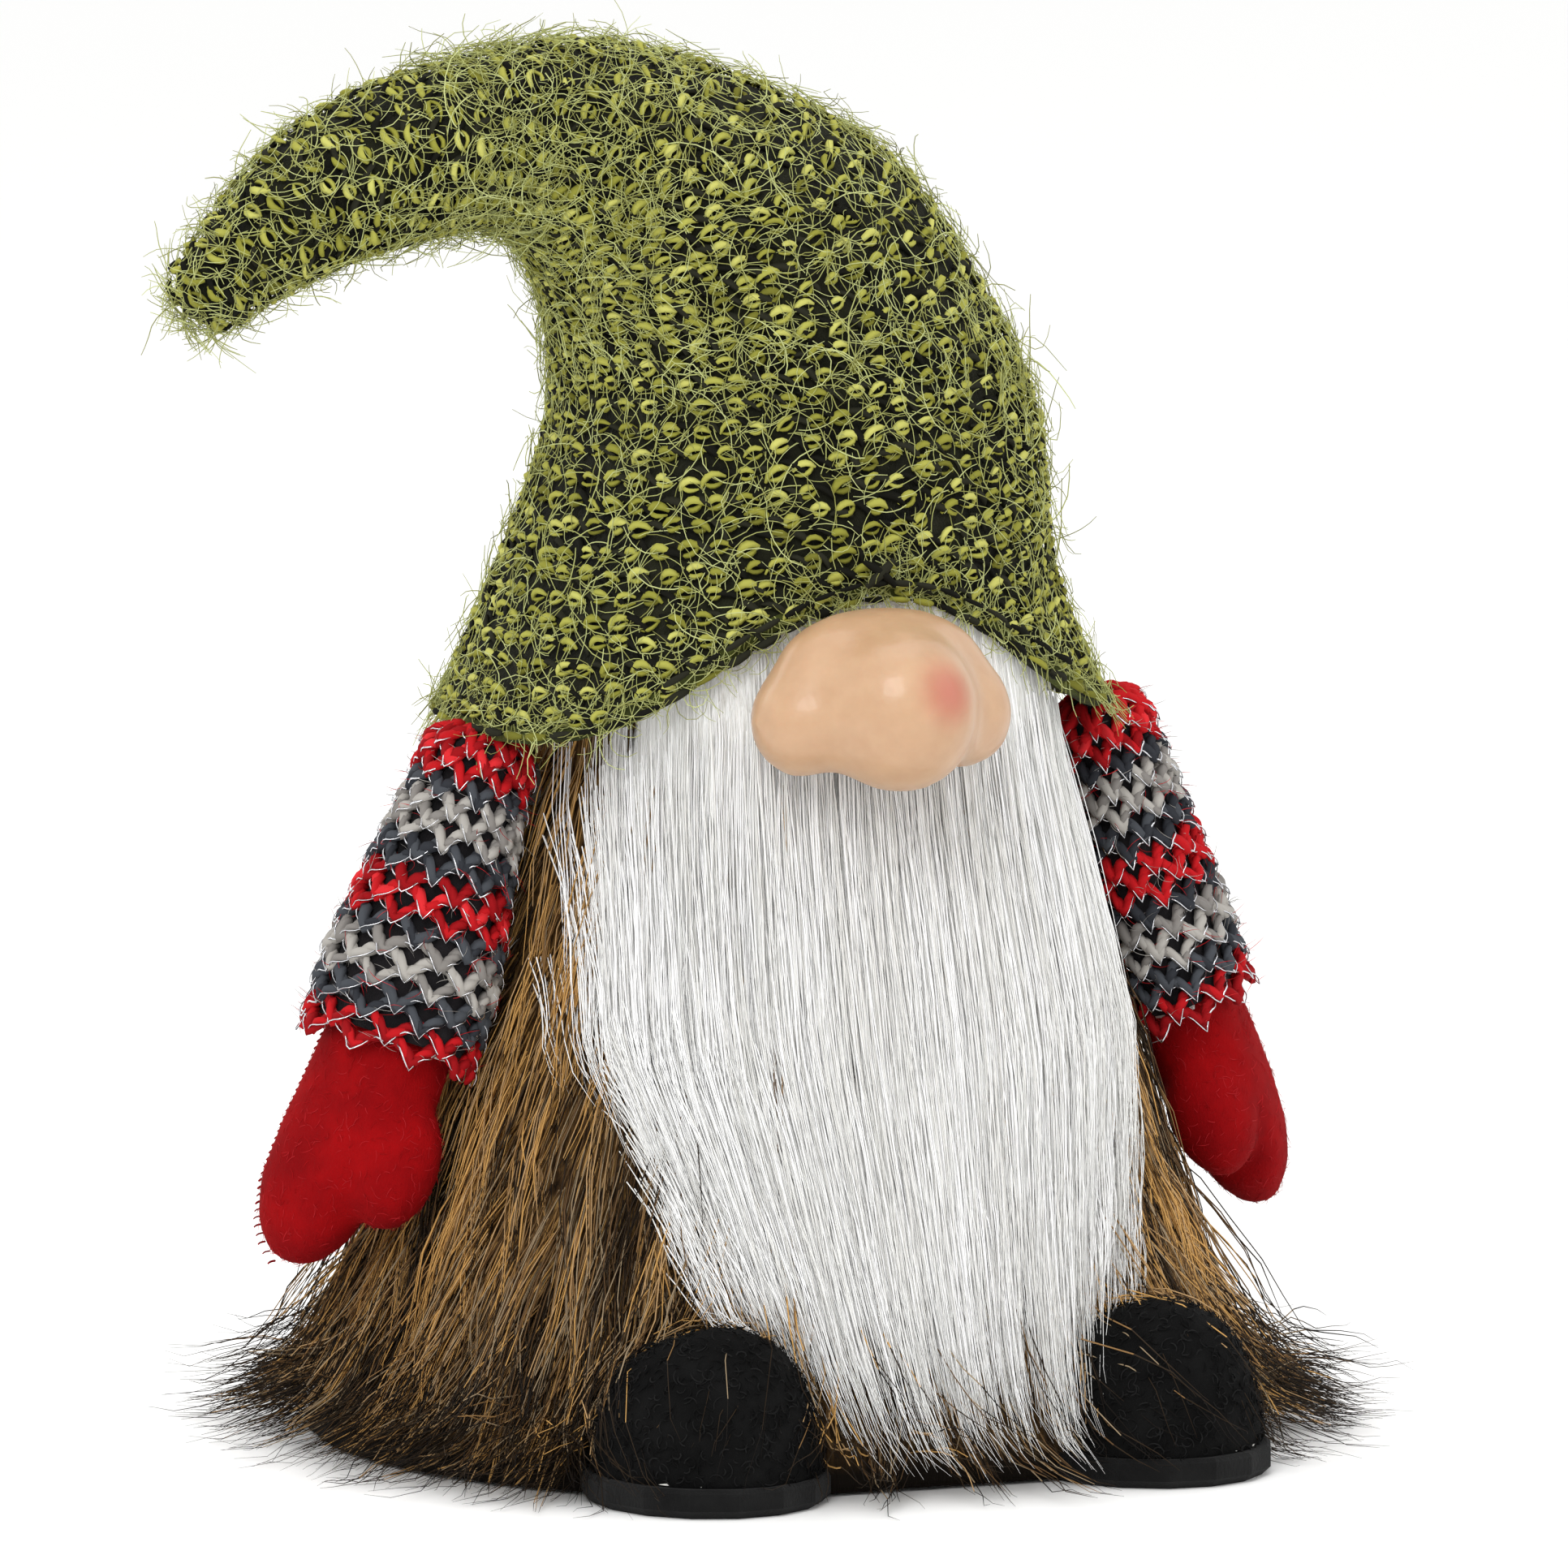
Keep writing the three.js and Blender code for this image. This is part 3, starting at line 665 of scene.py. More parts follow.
def make_fur():
    under = revolved("fur_underlayer", coat_skin, 60, 180, -4.4, 3 * MM)
    # the foot colour #120d08 is painted shade where the fur meets the floor, and it also stands for the dark
    # hair tips there
    wear(under, streaky("fur_underlayer", FUR_STOPS, 0.8, 0.0016, foot="#120d08"))
    settle(under, "root")
    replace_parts(under, "fur_coat")
    for layer in range(FUR_LAYERS):
        count = FUR_LOCKS
        angle = draw_between(-math.pi, math.pi, count)
        start = rng.random(count) ** 0.8 * (coat.length - 62 * MM)
        front = (np.abs(angle) > 0.2) & (np.abs(angle) < 0.72)
        end = start + draw_between(40, 62, count) * MM
        end = np.where(front, np.minimum(end, coat.far_at(draw_between(7, 34, count))), end)
        length = np.maximum(np.minimum(end, coat.length - 6 * MM) - start, 14 * MM)
        lift = (draw_between(-1.5, 2.6, count) + 0.7 * layer) * MM
        guides = fur_lines(angle, start, length, lift, draw_between(-0.14, 0.14, count), 6)
        strands(
            f"fur_pile_{layer + 1}",
            guides,
            FUR_TONES,
            "root",
            "brown_fur",
            tip_tones=FUR_TIPS,
            tone=streaks_of(angle, len(FUR_TONES)),
            hairs_in_a_lock=9,
            thickness=0.225 * MM,
            shortening=0.4,
            tip_share=0.84,
            seed=11 + layer,
            **FUR_LOCK,
        )
    make_splay()


def make_splay():
    """Long dark locks at the hem that lie out over the floor."""
    count = SPLAY_LOCKS
    angle = draw_between(-math.pi, math.pi, count)
    front = (np.abs(angle) < BOOT_ANGLE) & (rng.random(count) < 0.7)
    angle = np.where(front, angle + np.sign(angle) * BOOT_ANGLE, angle)
    start = coat.far_at(draw_between(14, 66, count))
    end = coat.length - draw_between(0, 30, count) * MM
    lift = draw_between(0.1, 1, count) ** 2.4 * 13 * MM
    guides = fur_lines(angle, start, end - start, lift, draw_between(-0.16, 0.16, count), 9)
    strands(
        "fur_splay",
        guides,
        FUR_TONES,
        "root",
        "brown_fur",
        tip_tones=FUR_TIPS,
        hairs_in_a_lock=5,
        thickness=0.2 * MM,
        shortening=0.4,
        tip_share=0.6,
        seed=21,
        **SPLAY_LOCK,
    )


# ---- beard ----
BEARD_BEND = ("root", "beard", (0, -0.080, 0.150), (0, -0.096, 0.116))
BEARD_LAYERS, BEARD_LOCKS, BEARD_HAIR_STEPS = 3, 540, 6
BEARD_COLUMNS = 15  # locks gather towards this many lines on each side of the middle
# height and half the beard's width there, in mm
BEARD_WIDTHS = [(0, 44), (15, 46), (42, 52), (98, 64), (155, 57), (178, 54), (209, 50)]
BEARD_TONES = [
    coat_of("beard_shade", "#e9e8e4", 0.35),
    coat_of("beard_ivory", "#f3f3f0", 0.35),
    coat_of("beard_white", "#fbfbfa", 0.35),
    coat_of("beard_bright", "#ffffff", 0.35),
]


def beard_half_width(far):
    """Half the beard's width at a distance down its outline."""
    heights, widths = np.transpose(BEARD_WIDTHS)
    return np.interp(beard.at(far, 0)[1] / MM, heights, widths) * MM


def beard_points(share, far, lift):
    """Points on the beard: share from -1 to 1 across it, and a distance down it."""
    radius, height = beard.at(far, lift)
    across = share * beard_half_width(far)
    return np.stack([across, -np.sqrt(np.maximum(radius**2 - across**2, 1e-8)), height], -1)


def slab(outer, inner):
    """A closed sheet between two grids of points of the same size."""
    rows, columns = outer.shape[:2]
    faces = net_faces(rows, columns, closed=False)
    count = rows * columns
    faces += [tuple(count + i for i in reversed(f)) for f in faces]
    edge = [(0, c) for c in range(columns)] + [(r, columns - 1) for r in range(1, rows)]
    edge += [(rows - 1, c) for c in range(columns - 2, -1, -1)] + [(r, 0) for r in range(rows - 2, 0, -1)]
    ring = [r * columns + c for r, c in edge]
    for a, b in zip(ring, ring[1:] + ring[:1]):
        faces.append((b, a, count + a, count + b))
    return np.concatenate([outer.reshape(-1, 3), inner.reshape(-1, 3)]), faces


def make_beard_underlayer():
    rows, columns = 60, 70
    share = np.linspace(-0.93, 0.93, columns)
    ragged = np.array([noise.noise(Vector((s * 9, 4.2, 0))) for s in share])
    low = beard.far_at(52 + 60 * np.abs(share) ** 3) + ragged * 14 * MM
    down = np.linspace(0, 1, rows)[:, None]
    high = beard.far_at(204 - 26 * share**2)
    far = high[None, :] + (low - high)[None, :] * down
    ridge = [[noise.noise(Vector((s * 26, 1.7, f * 20))) for s, f in zip(share, row)] for row in far]
    thick = (2.4 + 1.6 * np.array(ridge)) * (1 - np.abs(share[None, :]) ** 8) * MM
    grid = np.broadcast_to(share[None, :], far.shape)
    outer = round_the_boots(beard_points(grid, far, 1.0 * MM + thick), 3.2 * MM)
    inner = round_the_boots(beard_points(grid, far, 0.4 * MM), 1.4 * MM)
    piece = face_outwards(mesh_piece("beard_underlayer", *slab(outer, inner)))
    wear(piece, streaky("beard_underlayer", BEARD_STOPS, 0.6, 0.0008, along=0.06))
    settle(piece, BEARD_BEND)
    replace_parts(piece, "beard_panel", "beard_fall")


def make_beard():
    make_beard_underlayer()
    for layer in range(BEARD_LAYERS):
        count = BEARD_LOCKS
        share = draw_between(-1, 1, count)
        share += np.sign(share) * (np.abs(share) > 0.88) * rng.exponential(0.03, count)
        start = beard.far_at(202 - 26 * share**2) + rng.random(count) ** 1.15 * beard.far_at(76)
        low = 58 * np.abs(share) ** 2.2 + rng.normal(14, 17, count)
        end = np.minimum(start + draw_between(70, 118, count) * MM, beard.far_at(np.maximum(low, 3)))
        end = np.maximum(end, start + 26 * MM)
        end = np.minimum(end, beard.length - draw_between(0, 12, count) * MM)
        steps = np.linspace(0, 1, BEARD_HAIR_STEPS)[None, :]
        far = start[:, None] + (end - start)[:, None] * steps
        rise = (2.2 + 1.5 * layer) * np.minimum(1, steps / 0.3) + rng.normal(0, 0.8, (count, 1)) * steps
        lift = (0.4 + rise) * MM
        lock = np.round(share * BEARD_COLUMNS) / BEARD_COLUMNS
        gather = share[:, None] + (lock - share)[:, None] * 0.55 * steps**2
        guides = round_the_boots(beard_points(gather, far, lift), 3 * MM)
        guides[..., 2] = np.maximum(guides[..., 2], FLOOR_GAP + 0.6 * MM)
        strands(
            f"beard_hair_{layer + 1}",
            guides,
            BEARD_TONES,
            BEARD_BEND,
            "white_fur",
            hairs_in_a_lock=8,
            root_spread=3.6 * MM,
            tip_spread=1.5 * MM,
            wave=6 * MM,
            wave_size=40.0,
            thickness=0.152 * MM,
            shortening=0.35,
            tone_jitter=1.2,
            seed=31 + layer,
        )


# ---- hat ----
HAT_INSIDE = [(-82, 167), (-67, 202), (-54, 238), (-55, 262), (-62, 279), (-73, 287)]
HAT_INSIDE += [(-91, 286), (-112, 280), (-134, 270)]
HAT_OUTSIDE = [(78, 167), (64, 202), (60, 239), (47, 268), (20, 303), (-37, 327)]
HAT_OUTSIDE += [(-84, 325), (-122, 311), (-149, 283)]
HAT_DEPTH = 0.95  # front to back, as a share of the width
HAT_SPLIT = 0.76
HAT_DOME = 0.05  # how much of the line the rounded end takes past 1
BRIM, BRIM_RISE, BRIM_SPREAD = 170 * MM, 33 * MM, 80 * MM
HAT_BENDS = {
    "hat_base": ("root", "hat_horn", (-0.0328, 0, 0.2947), (-0.0744, 0, 0.3187)),
    "hat_tip": ("hat_horn", "hat_end", (-0.100, 0, 0.3025), (-0.127, 0, 0.289)),
}
HAT_LENGTH = 0.37
CLOTH_OUTER, CLOTH_INNER = -0.9, -3.4  # mm out from the hat's outline, which the loops of yarn reach
LOOP_PITCH, LOOP_WIDTH = 5.3 * MM, 6.9 * MM
ROW_TILT = math.tan(math.radians(9))
LOOP_STEPS = 6
UPPER_LIP = dict(width=5.1 * MM, height=1.25 * MM, stand=1.3 * MM, lean=0.2)
LOWER_LIP = dict(width=4.5 * MM, height=-1.1 * MM, stand=1.0 * MM, lean=0.2)
BLACK_LOOP = dict(width=6.6 * MM, height=0.9 * MM, stand=1.0 * MM, lean=-0.5)
MOHAIR_STEPS, BRIM_HAIRS, HEM_STITCHES = 7, 1200, 66
MOHAIR_COATS = [  # part of the hat, how many, length, thickness, seed
    ("hat_base", 3500, 20 * MM, 0.145 * MM, 51),
    ("hat_base", 3500, 10 * MM, 0.115 * MM, 52),
    ("hat_tip", 1300, 11 * MM, 0.135 * MM, 53),
]
MOHAIR_CURL = dict(wave=3 * MM, wave_size=120.0, taper=0.4)


def along_line(points, t):
    """Points on a smooth line, t from 0 to 1."""
    steps = 24
    line = smooth_line(np.array(points, float) * MM, steps)
    where = np.linspace(0, 1, len(line))
    return np.stack([np.interp(t, where, line[:, 0]), np.interp(t, where, line[:, 1])], -1)


def hat_point(t, angle, grow):
    """A point on the hat: t up its length, angle round it, grow out from its cloth."""
    t, angle, grow = np.broadcast_arrays(np.asarray(t, float), angle, grow)
    straight = np.minimum(t, 1)
    inside, outside = along_line(HAT_INSIDE, straight), along_line(HAT_OUTSIDE, straight)
    middle, half = (inside + outside) / 2, np.linalg.norm(outside - inside, axis=-1) / 2
    across = unit(outside - inside)
    forward = np.stack([-across[..., 1], across[..., 0]], -1)
    round_off = np.clip((t - 1) / HAT_DOME, 0, 1) * math.pi / 2
    wide = (half + grow) * np.cos(round_off) * np.cos(angle)
    deep = (half * HAT_DEPTH + grow) * np.cos(round_off) * np.sin(angle)
    flat = middle + across * wide[..., None] + forward * ((half + grow) * np.sin(round_off))[..., None]
    return np.stack([flat[..., 0], deep, flat[..., 1]], -1)


def hat_frame(t, angle, grow):
    """The point and the ways round the hat, along it and out of it."""
    point = hat_point(t, angle, grow)
    round_it = unit(hat_point(t, angle + 0.02, grow) - hat_point(t, angle - 0.02, grow))
    up = unit(hat_point(t + 0.004, angle, grow) - hat_point(t - 0.004, angle, grow))
    out = unit(np.cross(round_it, up))
    return point, round_it, unit(np.cross(out, round_it)), out


def brim_height(points):
    """The height of the brim at a place: it arches over the nose."""
    arch = BRIM_RISE * np.cos(np.pi * np.clip(points[..., 0] / (2 * BRIM_SPREAD), -0.5, 0.5)) ** 2
    return BRIM + np.where(points[..., 1] < 0, arch, 0)


def brim_t(angle):
    """Where the cloth starts at an angle, as t."""
    ts = np.linspace(0, 0.4, 161)
    points = hat_point(ts[:, None], angle[None, :], 0.0)
    return ts[np.argmax(points[..., 2] >= brim_height(points), axis=0)]


def hat_rows(pitch):
    """The t of each row of knitting, evenly spaced along the middle of the hat."""
    ts = np.linspace(0, 1 + HAT_DOME, 600)
    middle = (hat_point(ts, 0.0, 0.0) + hat_point(ts, math.pi, 0.0)) / 2
    far = np.concatenate([[0], np.cumsum(np.linalg.norm(np.diff(middle, axis=0), axis=1))])
    return np.interp(np.arange(0, far[-1], pitch), far, ts)


HAT_GREENS = matt_tones(
    0.8, {"yarn_moss": "#6c6b29", "yarn_olive": "#8a8938", "yarn_green": "#a3a24c", "yarn_lime": "#bbba64"}
)
HAT_BLACKS = matt_tones(0.9, {"yarn_black": "#14140f", "yarn_coal": "#26261d"})
MOHAIR = matt_tones(0.7, {"mohair_green": "#8f9052", "mohair_light": "#a9ad6c", "mohair_pale": "#bfc587"})


def hat_cloth(name, first, last):
    """The hat's cloth between two rows: an outer and an inner wall in one closed shell."""
    rows, columns = 70, 96
    angle = np.linspace(0, TURN, columns, endpoint=False)
    low = np.maximum(brim_t(angle), first) if first == 0 else np.full(columns, first)
    t = low[None, :] + (last - low)[None, :] * np.linspace(0, 1, rows)[:, None]
    outer = hat_point(t, angle[None, :], CLOTH_OUTER * MM)
    lump = np.array([noise.noise(Vector(p) * 190) for p in outer.reshape(-1, 3)]).reshape(rows, columns)
    outer = hat_point(t, angle[None, :], (CLOTH_OUTER + 0.7 * lump) * MM)
    inner = hat_point(t[::-1], angle[None, :], CLOTH_INNER * MM)
    if last > 1:
        inner = hat_point(np.minimum(t[::-1], 1 + 0.6 * (t[::-1] - 1)), angle[None, :], CLOTH_INNER * MM)
    points = np.concatenate([outer, inner]).reshape(-1, 3)
    faces = net_faces(2 * rows, columns)
    join = (2 * rows - 1) * columns
    faces += [(join + c, join + (c + 1) % columns, (c + 1) % columns, c) for c in range(columns)]
    piece = face_outwards(mesh_piece(name, points, faces))
    ground = fibrous(name + "_ground", "#0d0d09", "#2b2c1c", 0.95, fibre=0.0011, depth=0.0012)
    wear(piece, ground)
    return settle(piece, HAT_BENDS[name])


def knit_places(shift):
    """Where the knitted loops lie: rows round the hat that tilt a little, every second row moved half a
    loop along."""
    ts, angles = [], []
    for number, t in enumerate(hat_rows(LOOP_PITCH)):
        half = np.linalg.norm(hat_point(t, 0.0, 0.0) - hat_point(t, math.pi, 0.0)) / 2
        count = max(6, round(TURN * half / LOOP_WIDTH))
        angle = (np.arange(count) + 0.5 * (number % 2) + shift) * TURN / count
        angle = angle + rng.normal(0, 0.1, count) * LOOP_WIDTH / half
        tilt = ROW_TILT * half * np.cos(angle) * min(1, half / (30 * MM))
        ts.append(t + tilt / HAT_LENGTH + rng.normal(0, 0.0018, count))
        angles.append(angle)
    return np.concatenate(ts), np.concatenate(angles)


def loop_lines(t, angle, width, height, stand, lean):
    """One arched line of yarn for each loop of the knitting. height is below 0 for the lower lip."""
    point, round_it, up, out = hat_frame(t, angle, 0.3 * MM)
    turn = lean + rng.normal(0, 0.24, len(t))
    size = rng.normal(1, 0.15, len(t))[:, None, None]
    side = round_it * np.cos(turn)[:, None] + up * np.sin(turn)[:, None]
    rise = np.cross(out, side)
    u = np.linspace(-1, 1, LOOP_STEPS)[None, :, None]
    arch = (1 - u**2) * height
    lines = side[:, None] * u * width / 2 + rise[:, None] * arch
    lines = lines + out[:, None] * ((1 - u**2) * stand - 0.5 * MM)
    return point[:, None] + lines * size


def on_hat(t, angle, name):
    """Which loops belong to a part of the hat, clear of the brim."""
    point = hat_point(t, angle, 0.0)
    part = t < HAT_SPLIT if name == "hat_base" else t >= HAT_SPLIT
    return part & (point[..., 2] > brim_height(point) + 1.5 * MM) & (t > 0) & (t < 1 + 0.9 * HAT_DOME)


def make_knitting(name):
    """A loop of green yarn for each stitch, an upper and a lower lip, with black loops between."""
    u = np.linspace(-1, 1, LOOP_STEPS)
    plump = np.sqrt(1 - 0.82 * u**2)
    where = HAT_BENDS[name], "green_knit"
    t, angle = knit_places(0)
    keep = on_hat(t, angle, name)
    t, angle = t[keep], angle[keep]
    tone = np.clip(rng.normal(1.9, 0.8, len(t)), 0, 3)
    look = dict(girth=plump, taper=0.0, tone_jitter=0.3)
    upper = dict(sides=5, tone=tone, thickness=0.88 * MM)
    strands(name + "_upper_loops", loop_lines(t, angle, **UPPER_LIP), HAT_GREENS, *where, **upper, **look)
    lower = dict(sides=4, tone=tone - 0.8, thickness=0.6 * MM)
    strands(name + "_lower_loops", loop_lines(t, angle, **LOWER_LIP), HAT_GREENS, *where, **lower, **look)
    t, angle = knit_places(0.5)
    keep = on_hat(t, angle, name)
    dark = loop_lines(t[keep], angle[keep], **BLACK_LOOP)
    strands(name + "_black_loops", dark, HAT_BLACKS, *where, sides=4, thickness=0.88 * MM, **look)


def make_mohair(name, count, length, thickness, seed):
    """Long loose fibres that curl over the knitting."""
    low, high = (0.0, HAT_SPLIT) if name == "hat_base" else (HAT_SPLIT, 1 + 0.9 * HAT_DOME)
    t = draw_between(low, high, count)
    angle = draw_between(0, TURN, count)
    keep = on_hat(t, angle, name)
    point, _, _, out = hat_frame(t[keep], angle[keep], 0.6 * MM)
    amount = len(point)
    span = draw_between(0.5, 1.3, amount) * length
    bend = draw_between(3.2, 15, amount) * MM
    guides = curls(point, out, span, bend, rng.exponential(1.7, amount) * MM, MOHAIR_STEPS)
    look = MOHAIR_CURL | dict(thickness=thickness, seed=seed)
    strands(f"{name}_mohair_{seed}", guides, MOHAIR, HAT_BENDS[name], "green_knit", **look)


def make_brim_mohair():
    """Fibres that break up the edge of the brim."""
    count = BRIM_HAIRS
    angle = draw_between(0, TURN, count)
    point, _, _, out = hat_frame(brim_t(angle) + rng.exponential(0.012, count), angle, 0.4 * MM)
    length, bend = draw_between(5, 15, count) * MM, draw_between(3, 12, count) * MM
    guides = curls(point, out, length, bend, rng.exponential(1.4, count) * MM, MOHAIR_STEPS)
    look = MOHAIR_CURL | dict(thickness=0.12 * MM, seed=54)
    strands("brim_mohair", guides, MOHAIR, "root", "green_knit", **look)


def make_brim_stitches():
    """The rolled hem's cover of yarn, its dark running stitches and the crossed tack over the nose."""
    angle = np.arange(HEM_STITCHES) * TURN / HEM_STITCHES
    edge = hat_point(brim_t(angle), angle, 0.3 * MM)
    after = np.roll(edge, -1, axis=0)
    share = np.linspace(0.1, 0.9, 6)[None, :, None]
    chain = edge[:, None] + (after - edge)[:, None] * share
    out = unit(edge * np.array([1, 1, 0]))
    bow = np.sin(np.pi * np.linspace(0, 1, 6))[None, :, None]
    u = np.linspace(-1, 1, 6)
    plump = np.sqrt(1 - 0.7 * u**2)
    cover = chain + out[:, None] * (0.2 + 0.9 * bow) * MM + np.array([0, 0, 0.2 * MM])
    look = dict(girth=plump, taper=0.0, sides=6)
    tones = HAT_BLACKS + HAT_GREENS[:2]
    strands("hem_cover_yarn", cover, tones, "root", "hem_yarn", thickness=0.95 * MM, **look)
    front = np.sin(angle) < -0.72
    running = chain[front] + out[front][:, None] * (1.6 + 0.9 * bow) * MM + np.array([0, 0, 4.2 * MM])
    strands("hem_running_stitches", running, HAT_BLACKS, "root", "hem_yarn", thickness=0.75 * MM, **look)
    peak = hat_frame(brim_t(np.array([-math.pi / 2])) + 0.02, np.array([-math.pi / 2]), 1.8 * MM)
    spot, side, up = (v[0] for v in peak[:3])
    ends = [(-3.6, -3), (3.6, 3)], [(-3.6, 3), (3.6, -3)]
    cross = [[spot + (side * a + up * b) * MM for a, b in (np.linspace(p, q, 6))] for p, q in ends]
    cross = np.array(cross) + (1.5 + 1.2 * bow) * peak[3][0] * MM
    strands("hem_tack", cross, HAT_BLACKS, "root", "hem_yarn", thickness=1.0 * MM, **look)


def make_hat_fill(name, node, bend):
    """Stuffing that sits inside the cloth round it."""
    piece = bpy.data.objects.new(name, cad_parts[node].data.copy())
    bpy.context.scene.collection.objects.link(piece)
    modifier(piece, "WELD", merge_threshold=0.02 * MM)
    applied(piece)
    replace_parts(piece, node)
    settle(piece, HAT_BENDS[bend])


def make_hat():
    make_hat_fill("head_fill", "head_stuffing", "hat_base")
    make_hat_fill("horn_fill", "hat_horn_stuffing", "hat_tip")
    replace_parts(hat_cloth("hat_base", 0, HAT_SPLIT), "hat_shell", "hat_horn")
    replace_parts(hat_cloth("hat_tip", HAT_SPLIT, 1 + HAT_DOME), "hat_end")
    for name in HAT_BENDS:
        make_knitting(name)
    for coat_values in MOHAIR_COATS:
        make_mohair(*coat_values)
    make_brim_mohair()
    make_brim_stitches()


# ---- arms ----
SHOULDER = (80.5, -6, 156.5)
SLEEVE_TOP = -12
ARM_SLANT, ARM_TURN = 0.33, 0.62
WRIST = 62
PALM = [  # distance down the arm, set back, half width, half thickness
    (56, 0, 15, 10),
    (62, 0, 17, 11),
    (75, 0.5, 18, 11.8),
    (88, 3.5, 17, 11.8),
    (102, 6.5, 15, 10.8),
    (112, 7.5, 12, 8.6),
    (117, 8, 8, 5.6),
    (120, 8, 4.2, 3.4),
]
THUMB, THUMB_RADII = (0, -12.5, -89), (9.8, 11.5, 17.5)
PALM_MIDDLE, PALM_SHRINK = np.array([0, 0, -88]), 0.965  # drawn in a little before it is puffed up
PALM_COLUMNS, PALM_SQUARENESS = 28, 0.85
MITTEN_HAIRS, SEAM_STITCHES = 1000, 34
SIDES = {"right": -1, "left": 1}
RED_YARNS = matt_tones(0.8, {"yarn_deep_red": "#8f0e14", "yarn_red": "#b3161c", "yarn_scarlet": "#cf2a2f"})
SLATE_YARNS = matt_tones(0.85, {"yarn_slate": "#2f3136", "yarn_iron": "#44474c"})
GREY_YARNS = matt_tones(0.85, {"yarn_grey": "#807c78", "yarn_silver_grey": "#a5a19b"})
YARN_SETS = {"red": RED_YARNS, "slate": SLATE_YARNS, "grey": GREY_YARNS}
STRIPES = "red red red slate grey grey grey slate slate".split() * 2 + ["red", "red"]
SHOULDER_FULL = 45  # how far down the arm the sleeve reaches its full width
PLY_STEPS, PLY_ARCHES, PLY_TWISTS = 150, 9, 22
FLUFF_COUNT = 800


def arm_place(side, points):
    """Points of the hanging arm, in mm from the shoulder, brought to their place in metres."""
    turn = Matrix.Rotation(-side * ARM_SLANT, 3, "Y") @ Matrix.Rotation(-side * ARM_TURN, 3, "Z")
    return (points @ np.array(turn).T + np.array(SHOULDER) * [side, 1, 1]) * MM


def sleeve_ring(down, angle, grow):
    """A point of the sleeve in arm space: down from the shoulder, angle round it."""
    grown = np.minimum(1, np.maximum(down, 0) / SHOULDER_FULL)
    cap = np.sqrt(np.clip(1 - (np.minimum(down, 0) / (SLEEVE_TOP - 2.5)) ** 4, 0, 1))
    thick = (10.2 + 2.6 * grown + grow) * cap
    wide = (12 + 8.5 * grown + grow) * cap
    return np.stack([thick * np.cos(angle), wide * np.sin(angle), -down + 0 * angle], -1)


def make_sleeve(name, side):
    rows, columns = 36, 40
    down = np.linspace(SLEEVE_TOP, WRIST - 1, rows)[:, None]
    angle = np.linspace(0, TURN, columns, endpoint=False)[None, :]
    points = arm_place(side, sleeve_ring(down, angle, -0.6).reshape(-1, 3))
    faces = net_faces(rows, columns)
    faces.append(tuple(range(columns - 1, -1, -1)))
    faces.append(tuple(range((rows - 1) * columns, rows * columns)))
    piece = mesh_piece("sleeve_cloth_" + name, points, faces)
    modifier(piece, "WELD", merge_threshold=0.05 * MM)
    applied(piece)
    wear(face_outwards(piece), fibrous("sleeve_ground_" + name, "#131315", "#2d2a2c", 0.9))
    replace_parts(piece, "sleeve_" + name)
    settle(piece, "arm_" + name)
    make_sleeve_yarn(name, side)


def make_sleeve_yarn(name, side):
    """Two-ply yarn that runs round the sleeve in crossing arches, in stripes, with a bright metal thread."""
    rows, where = len(STRIPES), ("arm_" + name, "striped_knit")
    angle = np.linspace(0, TURN, PLY_STEPS)
    for key, yarns in YARN_SETS.items():
        own = [row for row in range(rows) if STRIPES[row] == key]
        lines = np.array([ply_line(side, row, angle, ply) for row in own for ply in range(2)])
        look = dict(sides=5, thickness=1.12 * MM, taper=0.0, tone_jitter=0.8)
        strands(f"sleeve_{key}_yarn_{name}", lines, yarns, *where, **look)
    lurex = np.array([ply_line(side, row + 0.35, angle, 0, 1.35) for row in range(rows)])
    steel = coat_of("lurex_" + name, "#d9dade", 0.25, Metallic=1.0)
    strands(f"sleeve_lurex_{name}", lurex, [steel], *where, thickness=0.2 * MM, taper=0.0)
    fluff = lurex.reshape(-1, 3)
    fluff = fluff[rng.choice(len(fluff), FLUFF_COUNT)]
    out = unit(fluff - arm_place(side, np.array([[0, 0, -WRIST / 2]])))
    fibre = nap_of(fluff, out, (2, 6), (3, 8), (0.2, 1.6), 5)
    strands(f"sleeve_fluff_{name}", fibre, GREY_YARNS + RED_YARNS, *where, thickness=0.07 * MM)


def ply_line(side, row, angle, ply, stand=0.0):
    """One ply of a row's yarn: arches along the row, twisted round the other ply."""
    phase = 0.5 * (int(row) % 2)
    wave = np.abs(np.sin(angle * PLY_ARCHES / 2 + phase * math.pi)) ** 0.8
    down = SLEEVE_TOP + (row + 0.5) * (WRIST + 3 - SLEEVE_TOP) / len(STRIPES) - 5.2 * (wave - 0.5)
    twist = angle * PLY_TWISTS + ply * math.pi
    over = 0.8 * np.cos(angle * PLY_ARCHES + phase * TURN) + 0.55 * np.cos(twist) + 1.0 + stand
    return arm_place(side, sleeve_ring(down + 0.55 * np.sin(twist), angle, over))


CLOTH_FRAMES, CLOTH_PRESSURE = 20, 4


